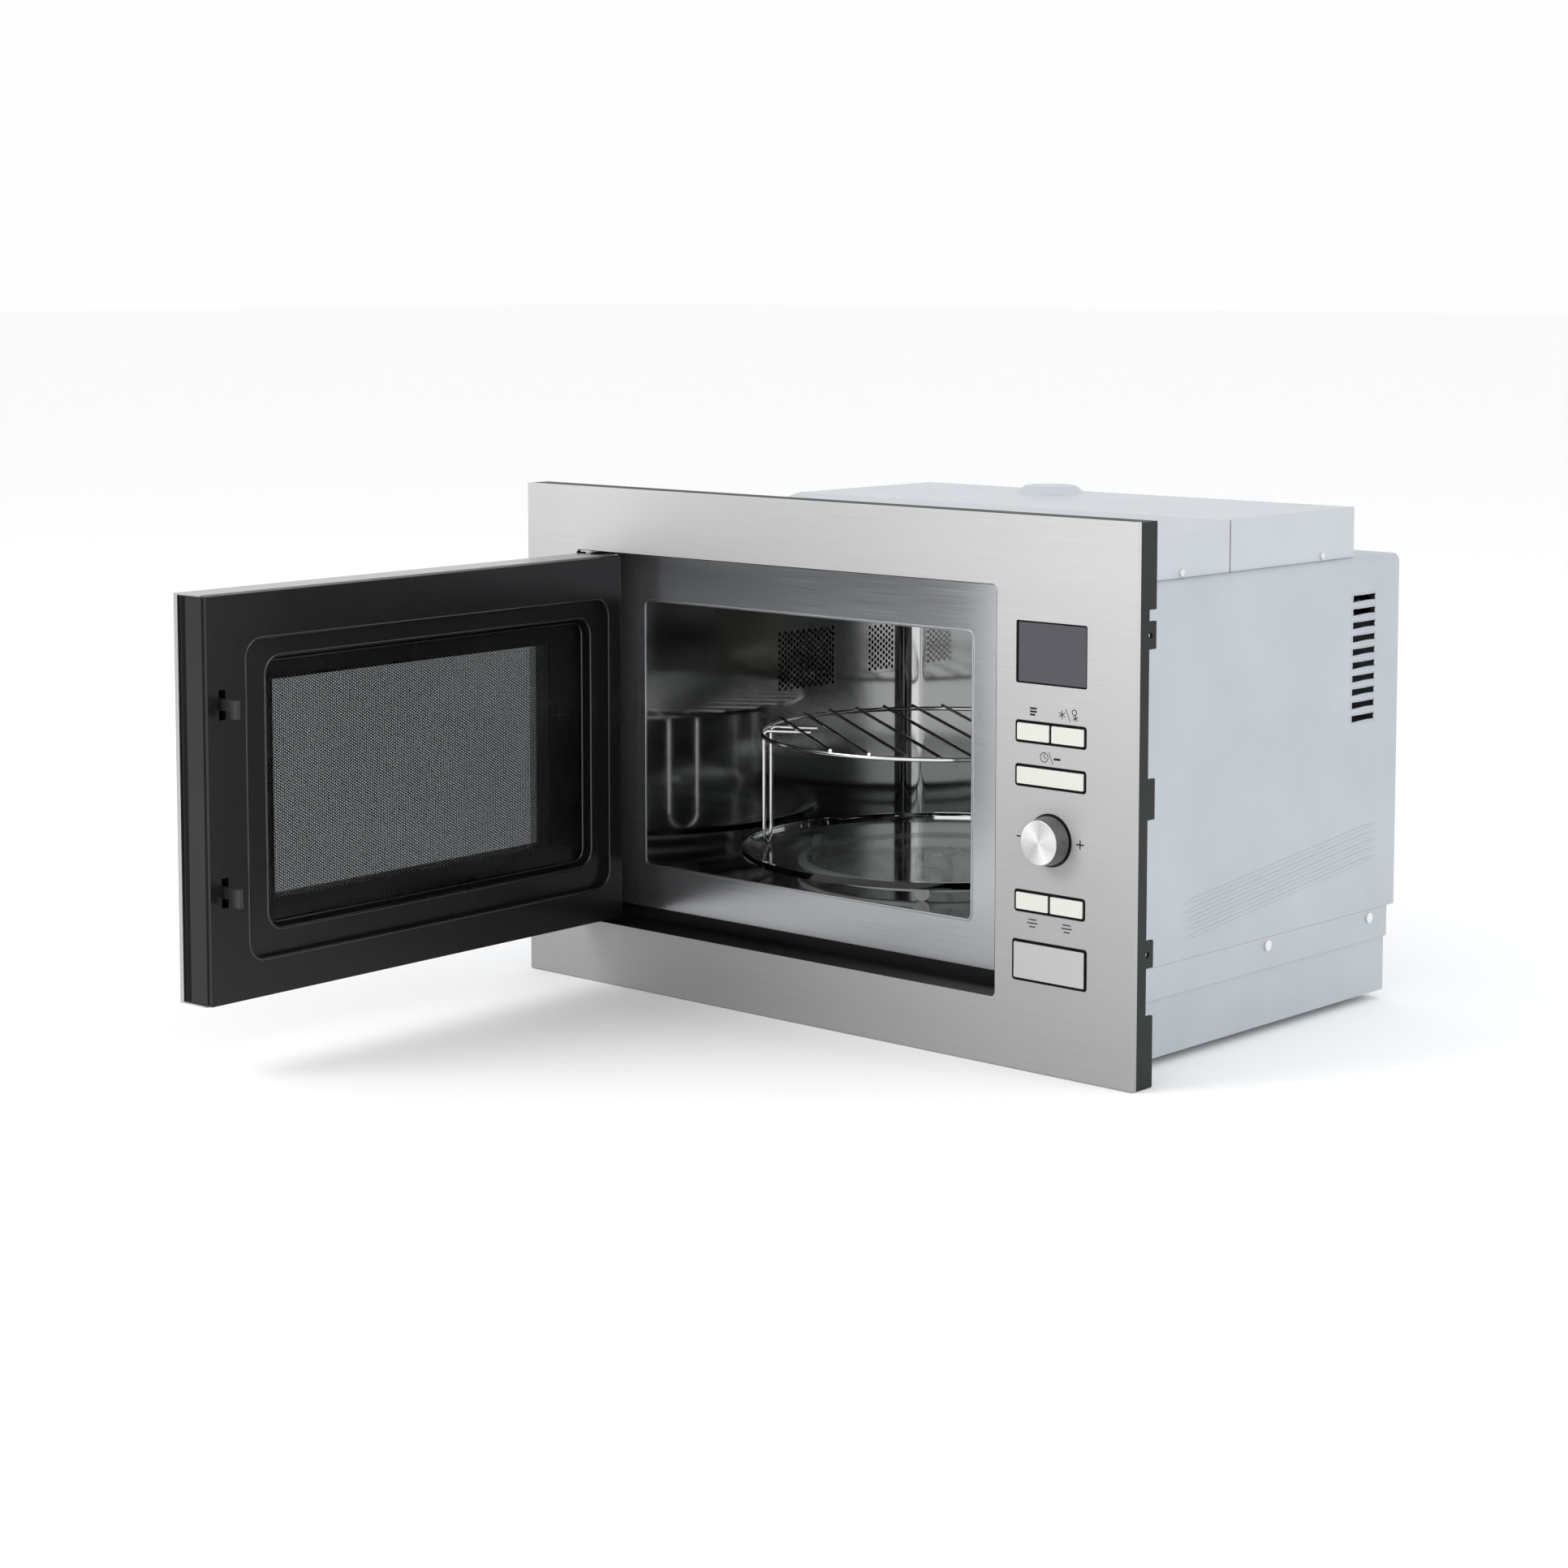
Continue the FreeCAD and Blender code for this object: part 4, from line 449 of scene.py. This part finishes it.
def closed_door_space():
    """Takes a place given with the door shut to where it is with the door at rest, swung open."""
    hinge = joint_row("door_hinge")
    pivot = Vector(hinge["pos_m"])
    swing = Matrix.Rotation(math.radians(hinge["range_deg"][0]), 4, "Z")
    return Matrix.Translation(pivot) @ swing @ Matrix.Translation(-pivot)


def box_in(node, space):
    """Lowest and highest corner of a CAD node in another space."""
    back = space.inverted()
    points = [back @ vertex.co for vertex in nodes[node].data.vertices]
    low = Vector([min(point[axis] for point in points) for axis in range(3)])
    high = Vector([max(point[axis] for point in points) for axis in range(3)])
    return low, high


def punched_sheet(name, place, across, up, pitch, radius, margin, cuts=1, depth=0.0):
    """A flat sheet with staggered holes, in metres; place turns (across, up, depth) into a point.

    Each hole has six sides, cut again into cuts parts, and walls as deep as depth says.
    """
    columns = int((across[1] - across[0] - 2 * margin[0]) / pitch[0])
    rows = int((up[1] - up[0] - 2 * margin[1]) / pitch[1])
    left = (across[0] + across[1] - columns * pitch[0]) / 2
    low = (up[0] + up[1] - rows * pitch[1]) / 2
    right, high = left + columns * pitch[0], low + rows * pitch[1]
    points, faces = [], []

    def add(corners):
        first = len(points)
        points.extend(place(*corner) for corner in corners)
        faces.append(tuple(range(first, first + len(corners))))

    half = (pitch[0] / 2, pitch[1] / 2)
    rim = [(half[0], 0), (half[0], half[1]), (-half[0], half[1]), (-half[0], 0), (-half[0], -half[1]),
           (half[0], -half[1])]
    turns = [math.atan2(edge[1], edge[0]) % math.tau for edge in rim] + [math.tau]
    for column in range(columns):
        middle = left + (column + 0.5) * pitch[0]
        shift = half[1] if column % 2 else 0
        if shift:
            for base in (low, high - shift):
                add([(middle - half[0], base, 0), (middle + half[0], base, 0),
                     (middle + half[0], base + shift, 0), (middle - half[0], base + shift, 0)])
        for row in range(rows - (1 if shift else 0)):
            level = low + (row + 0.5) * pitch[1] + shift
            for side in range(6):
                first, last = rim[side], rim[(side + 1) % 6]
                arc = []
                for step in range(cuts + 1):
                    turn = turns[side] + (turns[side + 1] - turns[side]) * step / cuts
                    arc.append((middle + radius[0] * math.cos(turn), level + radius[1] * math.sin(turn)))
                add([(middle + first[0], level + first[1], 0), (middle + last[0], level + last[1], 0),
                     *[(*spot, 0) for spot in reversed(arc)]])
                if depth:
                    for one, two in zip(arc, arc[1:]):
                        add([(*one, 0), (*two, 0), (*two, depth), (*one, depth)])
    for x, z in (((across[0], left), up), ((right, across[1]), up), ((left, right), (up[0], low)),
                 ((left, right), (high, up[1]))):
        add([(x[0], z[0], 0), (x[1], z[0], 0), (x[1], z[1], 0), (x[0], z[1], 0)])
    mesh = bpy.data.meshes.new(name)
    mesh.from_pydata(points, [], faces)
    work = bmesh.new()
    work.from_mesh(mesh)
    bmesh.ops.remove_doubles(work, verts=work.verts, dist=1e-6)
    bmesh.ops.recalc_face_normals(work, faces=work.faces)
    work.to_mesh(mesh)
    work.free()
    return mesh


def door_screen():
    """The door's punched screen: light shows through its holes."""
    space = closed_door_space()
    low, high = box_in("door_screen", space)

    def place(x, z, depth):
        return space @ Vector((x, high.y - depth, z))

    mesh = punched_sheet("screen_sheet", place, (low.x, high.x), (low.z, high.z), metres(*SCREEN_PITCH),
                         metres(*SCREEN_HOLE), metres(*SCREEN_MARGIN))
    add_mesh("screen_sheet", mesh, DARK_SCREEN, "door", smooth=0, replaces=["door_screen"])


def vent_fields():
    """Two fields of punched holes in the cavity's left wall."""
    low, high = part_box("cavity_vents")
    fields = {}
    for vertex in nodes["cavity_vents"].data.vertices:
        near = vertex.co.y < (low.y + high.y) / 2
        fields.setdefault(near, []).append(vertex.co)

    def place(y, z, depth):
        return Vector((high.x - depth, y, z))

    work = bmesh.new()
    for near in sorted(fields):
        spots = fields[near]
        y = (min(spot.y for spot in spots), max(spot.y for spot in spots))
        z = (min(spot.z for spot in spots), max(spot.z for spot in spots))
        part = punched_sheet("vent_field", place, y, z, metres(*VENT_PITCH), metres(*VENT_HOLE),
                             metres(*VENT_MARGIN), cuts=3, depth=VENT_DEPTH * MM)
        work.from_mesh(part)
        bpy.data.meshes.remove(part)
    mesh = mesh_from(work, "vent_fields", outward=False)
    add_mesh("vent_fields", mesh, CAVITY_STEEL, "oven", smooth=0, replaces=["cavity_vents"])


def vent_shade_backing():
    """One dark hood with sloping sides, outside the cavity's wall and behind both fields of holes: painted
    shade, dark where the holes look into the space behind the wall.
    """
    low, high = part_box("cavity_vents")
    lap, gap, deep, inset = metres(HOOD_LAP, HOOD_GAP, HOOD_DEPTH, HOOD_TAPER)
    corners = ((low.y - lap, low.z - lap, 1, 1), (high.y + lap, low.z - lap, -1, 1),
               (high.y + lap, high.z + lap, -1, -1), (low.y - lap, high.z + lap, 1, -1))
    work = bmesh.new()
    edge = [work.verts.new((low.x - gap, y, z)) for y, z, _, _ in corners]
    back = [work.verts.new((low.x - deep, y + inset * inward, z + inset * upward))
            for y, z, inward, upward in corners]
    work.faces.new(back)
    join_rings(work, edge, back)
    add_mesh("vent_shade_hood", mesh_from(work, "vent_shade_hood", outward=False), SHADE_BLACK, "oven", smooth=0)


def join_rings(work, one, two):
    """Four faces between two rings of four corners."""
    for side in range(4):
        after = (side + 1) % 4
        work.faces.new((one[side], one[after], two[after], two[side]))


def strokes(name, lines, level, height, material):
    """Flat upright strips, as high as height in front of level: each line is (X and Z points, width)."""
    points, faces = [], []
    for path, width in lines:
        for (x1, z1), (x2, z2) in zip(path, path[1:]):
            along = Vector((x2 - x1, z2 - z1))
            side = Vector((-along.y, along.x)).normalized() * width / 2
            nib = along.normalized() * width * 0.2
            corners = [Vector((x1, z1)) - nib + side, Vector((x2, z2)) + nib + side,
                       Vector((x2, z2)) + nib - side, Vector((x1, z1)) - nib - side]
            first = len(points)
            for depth in (0, height):
                points += [(corner.x, level - depth, corner.y) for corner in corners]
            faces += [tuple(first + n for n in face) for face in
                      ((4, 5, 6, 7), (0, 1, 5, 4), (1, 2, 6, 5), (2, 3, 7, 6), (3, 0, 4, 7))]
    mesh = bpy.data.meshes.new(name)
    mesh.from_pydata([(x * MM, y * MM, z * MM) for x, y, z in points], [], faces)
    add_mesh(name, mesh, material, "oven", smooth=0)


def circle(x, z, radius, count=20):
    """Points round a circle, the last on the first."""
    turns = [math.tau * step / count for step in range(count + 1)]
    return [(x + radius * math.cos(turn), z + radius * math.sin(turn)) for turn in turns]


def star(x, z, size, width):
    """Three crossed strokes, for frost."""
    lines = []
    for turn in (90, 30, -30):
        way = (math.cos(math.radians(turn)) * size, math.sin(math.radians(turn)) * size)
        lines.append(([(x - way[0], z - way[1]), (x + way[0], z + way[1])], width))
    return lines


def list_mark(x, z):
    """Three short bars, the last one shorter."""
    return [([(x - 3.0, z - 2.2 * step), (x + end, z - 2.2 * step)], 1.3)
            for step, end in enumerate((2.4, 2.4, 1.0))]


def frost_mark(x, z):
    """A large and a small star with a stroke between them and a drop above the small one."""
    return (star(x - 5.4, z + 7.4, 3.0, 0.55) + star(x + 6.2, z + 5.8, 2.3, 0.55)
            + [([(x - 2.2, z + 11.6), (x + 1.8, z + 3.2)], 0.5), (circle(x + 5.2, z + 9.8, 1.9, 12), 0.6)])


def clock_mark(x, z):
    """A clock's face with its hands, a stroke, and a flat weight."""
    return [(circle(x - 5.6, z + 7.0, 3.3), 0.55),
            ([(x - 5.6, z + 9.4), (x - 5.6, z + 7.0), (x - 3.9, z + 6.2)], 0.5),
            ([(x - 1.6, z + 10.8), (x + 1.8, z + 3.0)], 0.5),
            ([(x + 3, z + 6.6), (x + 8.2, z + 6.6)], 1.5)]


def caption_mark(x, z):
    """Three lines in place of a caption."""
    return [([(x - half, z - 2.5 * step), (x + half, z - 2.5 * step)], 0.8)
            for step, half in enumerate((3.22, 4.34, 2.38))]


def knob_marks(x, z, half):
    """Minus on the left of the knob and plus on its right."""
    return [([(x - half - 10.6, z), (x - half - 6.2, z)], 1.0),
            ([(x + half + 4.4, z), (x + half + 10.4, z)], 1.0),
            ([(x + half + 7.4, z - 3), (x + half + 7.4, z + 3)], 1.0)]


def legends():
    """Generic marks beside the keys: a list, frost, a clock, plus and minus, and short lines."""
    spots = {}
    for node in (*KEYS, "knob_collar"):
        low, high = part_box(node)
        spots[node] = ((low.x + high.x) / 2 / MM, low.z / MM, high.z / MM, (high.x - low.x) / 2 / MM)
    x, _, top, _ = spots["program_key"]
    lines = list_mark(x, top + 9.6)
    x, _, top, _ = spots["defrost_key"]
    lines += frost_mark(x, top)
    x, _, top, _ = spots["clock_key"]
    lines += clock_mark(x, top)
    for node in ("stop_key", "start_key"):
        x, foot, _, _ = spots[node]
        lines += caption_mark(x, foot - 5.3)
    x, foot, top, half = spots["knob_collar"]
    lines += knob_marks(x, (foot + top) / 2, half)
    strokes("legends", lines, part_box("front_frame")[0].y / MM, PRINT_HEIGHT, PRINT)


def display_bezel_and_shadow():
    """A black edge round the display's lens, widest on the left, where it is also painted shadow from the
    recess's edge.
    """
    low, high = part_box("display_window")
    left, right, foot, top = (value / MM for value in (low.x, high.x, low.z, high.z))
    lines = [([(left + 0.8, foot), (left + 0.8, top)], 1.6),
             ([(left, top - 0.5), (right, top - 0.5)], 1.0),
             ([(left, foot + 0.5), (right, foot + 0.5)], 1.0),
             ([(right - 0.4, foot), (right - 0.4, top)], 0.8)]
    strokes("display_bezel_and_shadow", lines, low.y / MM, BEZEL_AND_SHADOW_DEPTH, RIM_AND_SHADOW)


def opening_shadow_line():
    """A painted shadow: a thin black line behind the trim's edge, along the top and the control side of
    the opening.
    """
    low, high = box_in("door_front_panel", closed_door_space())
    left, right = low.x / MM, high.x / MM + DOOR_GAP_SIDE
    foot, top = low.z / MM, high.z / MM + DOOR_GAP_TOP
    inset = SHADOW_LINE_WIDTH / 2
    lines = [([(right - inset, foot), (right - inset, top)], SHADOW_LINE_WIDTH),
             ([(left, top - inset), (right, top - inset)], SHADOW_LINE_WIDTH)]
    strokes("opening_shadow_line", lines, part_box("front_frame")[0].y / MM + SHADOW_LINE_SETBACK, SHADOW_LINE_DEPTH, RIM_AND_SHADOW)


def swept_bar(work, path, width, height, sections=6):
    """A half-round bead along a path of (point, outward, side, share of its full size) rows."""
    rings = []
    for spot, outward, side, share in path:
        ring = []
        for step in range(sections + 1):
            turn = math.pi * step / sections
            ring.append(work.verts.new(spot + side * (math.cos(turn) * width / 2 * share)
                                       + outward * (math.sin(turn) * height * share)))
        rings.append(ring)
    for one, two in zip(rings, rings[1:]):
        for step in range(sections):
            work.faces.new((one[step], one[step + 1], two[step + 1], two[step]))


def pressed_ribs():
    """Five shallow ribs pressed into the cover's side above the seam, rising to the back."""
    low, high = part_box("outer_cover")
    outward, up = Vector((1, 0, 0)), Vector((0, 0, 1))
    work = bmesh.new()
    x = high.x - SUNK * MM
    count = 24
    for rib in range(RIB_COUNT):
        rise = RIB_PITCH * rib
        start = Vector((x, low.y + RIB_FRONT * MM, low.z + (RIB_FRONT_LEVEL + rise) * MM))
        end = Vector((x, high.y - RIB_REAR * MM, low.z + (RIB_REAR_LEVEL + rise) * MM))
        path = []
        for step in range(count + 1):
            share = step / count
            taper = min(1.0, 12 * min(share, 1 - share) + 0.05)
            path.append((start.lerp(end, share), outward, up, taper))
        swept_bar(work, path, *metres(RIB_WIDTH, RIB_HEIGHT))
    add_mesh("pressed_ribs", mesh_from(work, "pressed_ribs"), GALVANISED, "oven", smooth=60)


def louvre_lips():
    """A rolled lip round each vent slot, deeper at its rear end, where the metal is pressed out."""
    _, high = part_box("outer_cover")
    outward = Vector((1, 0, 0))
    half_length, half_height, sunk = metres(LOUVRE_HALF_LENGTH, LOUVRE_HALF_HEIGHT, SUNK)
    middle = high.y - LOUVRE_SETBACK * MM
    count = 32
    work = bmesh.new()
    for number in range(LOUVRE_COUNT):
        level = high.z - (LOUVRE_DROP + LOUVRE_PITCH * number) * MM
        path = []
        for step in range(count + 1):
            turn = math.tau * step / count
            square = max(abs(math.cos(turn)), abs(math.sin(turn)))
            y = middle + math.cos(turn) / square * half_length
            z = level + math.sin(turn) / square * half_height
            way = Vector((0, math.cos(turn), math.sin(turn)))
            share = 0.55 + 0.45 * max(0.0, math.cos(turn + 0.6))
            path.append((Vector((high.x - sunk, y, z)), outward, way, share))
        swept_bar(work, path, *metres(LIP_WIDTH, LIP_HEIGHT), sections=5)
    add_mesh("louvre_lips", mesh_from(work, "louvre_lips"), GALVANISED, "oven", smooth=60)


def door_edge():
    """Black upright strips on the door's free end, where its grooves and its rear edge are: painted shade
    in place of their depth.
    """
    space = closed_door_space()
    low, high = box_in("door_inner_frame", space)
    skin_low, _ = box_in("door_front_panel", space)
    foot, top = low.z + GROOVE_END * MM, high.z - GROOVE_END * MM
    work = bmesh.new()
    for start, width in DOOR_GROOVES:
        front = skin_low.y + (GROOVE_START + start) * MM
        back = front + width * MM
        rings = []
        for x in (high.x, high.x + GROOVE_PROUD * MM):
            corners = ((x, front, foot), (x, back, foot), (x, back, top), (x, front, top))
            rings.append([work.verts.new(space @ Vector(corner)) for corner in corners])
        work.faces.new(rings[1])
        join_rings(work, *rings)
    add_mesh("door_groove_shade", mesh_from(work, "door_groove_shade"), SHADE_BLACK, "door", smooth=0)


def rounded_outline(x, z, radius, steps=8):
    """Points of a rounded rectangle with the way out at each, as (x, z, out x, out z)."""
    points = []
    corners = ((x[1] - radius, z[1] - radius, 0), (x[0] + radius, z[1] - radius, 90),
               (x[0] + radius, z[0] + radius, 180), (x[1] - radius, z[0] + radius, 270))
    for middle_x, middle_z, start in corners:
        for step in range(steps + 1):
            turn = math.radians(start + 90 * step / steps)
            way = (math.cos(turn), math.sin(turn))
            points.append((middle_x + radius * way[0], middle_z + radius * way[1], *way))
    return points + points[:1]


def door_beads():
    """Glossy rounded edges round the recess and the pocket of the door's inner moulding."""
    space = closed_door_space()
    turn = space.to_3x3()
    recess = box_in("door_choke_frame", space)
    pane = box_in("door_inner_glass", space)
    face = box_in("door_inner_frame", space)[1].y
    # box, how far the bead is outside it, depth below the door's face, corner, width and height
    rows = ((recess, 0, 0, 14, 1.8, 0.5), (pane, POCKET_EDGE, RECESS_DEPTH, 14, 2.6, 0.9),
            (pane, 0, POCKET_STEP, 10, 2.0, 1.0))
    work = bmesh.new()
    for (low, high), outside, depth, radius, width, height in rows:
        edge = outside * MM
        level = face - (depth + SUNK) * MM
        across, up = (low.x - edge, high.x + edge), (low.z - edge, high.z + edge)
        path = []
        for x, z, out_x, out_z in rounded_outline(across, up, radius * MM):
            path.append((space @ Vector((x, level, z)), turn @ Vector((0, 1, 0)),
                         turn @ Vector((out_x, 0, out_z)), 1.0))
        swept_bar(work, path, *metres(width, height))
    add_mesh("door_beads", mesh_from(work, "door_beads"), GLOSS, "door", smooth=60)


plain_nodes()
rounded_nodes()
door_beads()
door_screen()
vent_fields()
vent_shade_backing()
legends()
display_bezel_and_shadow()
opening_shadow_line()
pressed_ribs()
louvre_lips()
door_edge()


# ---------------------------------------------------------------- stage, light and camera
# lengths in metres, light in watts
FLOOR_HALF, FLOOR_DROP = 30, 0.0005
LIGHT_SIZE = 1.6
KEY_PLACE, KEY_TARGET, KEY_POWER = (-1.4, -2.6, 2.4), (0, 0, 0.2), 40
SIDE_PLACE, SIDE_TARGET, SIDE_POWER = (2.8, 0.2, 1.6), (0, 0.1, 0.2), 22
SKY_COLOR = (0.985, 0.99, 1.0, 1)
CAMERA_PLACE = (1.5937, -1.8043, 0.5642)
CAMERA_YAW, CAMERA_PITCH = 42.22, -5.34
LENS, SENSOR_WIDTH, SHIFT_UP = 75.22, 36, -0.1377


def area_light(name, place, target, power):
    """A soft square light that faces its target."""
    light = bpy.data.lights.new(name, "AREA")
    light.energy = power
    light.size = LIGHT_SIZE
    lamp = bpy.data.objects.new(name, light)
    bpy.context.scene.collection.objects.link(lamp)
    lamp.location = place
    lamp.rotation_mode = "QUATERNION"
    lamp.rotation_quaternion = (Vector(target) - Vector(place)).to_track_quat("-Z", "Y")


def build_stage():
    """A plain pale floor just under the feet, an even sky and two soft lights."""
    floor_mesh = bpy.data.meshes.new("floor")
    signs = ((-1, -1), (1, -1), (1, 1), (-1, 1))
    corners = [(x * FLOOR_HALF, y * FLOOR_HALF, -FLOOR_DROP) for x, y in signs]
    floor_mesh.from_pydata(corners, [], [(0, 1, 2, 3)])
    floor = bpy.data.objects.new("floor", floor_mesh)
    bpy.context.scene.collection.objects.link(floor)
    pale = new_material("pale_floor", (0.97, 0.97, 0.97), roughness=0.9, Specular_IOR_Level=0.1)
    floor_mesh.materials.append(pale)
    world = bpy.data.worlds.new("studio")
    bpy.context.scene.world = world
    world.use_nodes = True
    sky = world.node_tree.nodes["Background"]
    sky.inputs["Color"].default_value = SKY_COLOR
    sky.inputs["Strength"].default_value = 1.0
    area_light("key", KEY_PLACE, KEY_TARGET, KEY_POWER)
    area_light("side", SIDE_PLACE, SIDE_TARGET, SIDE_POWER)


def build_camera():
    """A long lens that looks a little down, with its picture shifted instead of tilted further."""
    data = bpy.data.cameras.new("camera")
    camera = bpy.data.objects.new("camera", data)
    bpy.context.scene.collection.objects.link(camera)
    data.sensor_width = SENSOR_WIDTH
    data.lens = LENS
    data.shift_y = SHIFT_UP
    data.clip_end = 200
    data.dof.use_dof = False
    yaw, pitch = math.radians(CAMERA_YAW), math.radians(CAMERA_PITCH)
    look = Vector((-math.sin(yaw) * math.cos(pitch), math.cos(yaw) * math.cos(pitch), math.sin(pitch)))
    camera.location = CAMERA_PLACE
    camera.rotation_mode = "QUATERNION"
    camera.rotation_quaternion = look.to_track_quat("-Z", "Y")
    bpy.context.scene.camera = camera


build_stage()
build_camera()
bpy.context.scene.view_settings.view_transform = "Standard"
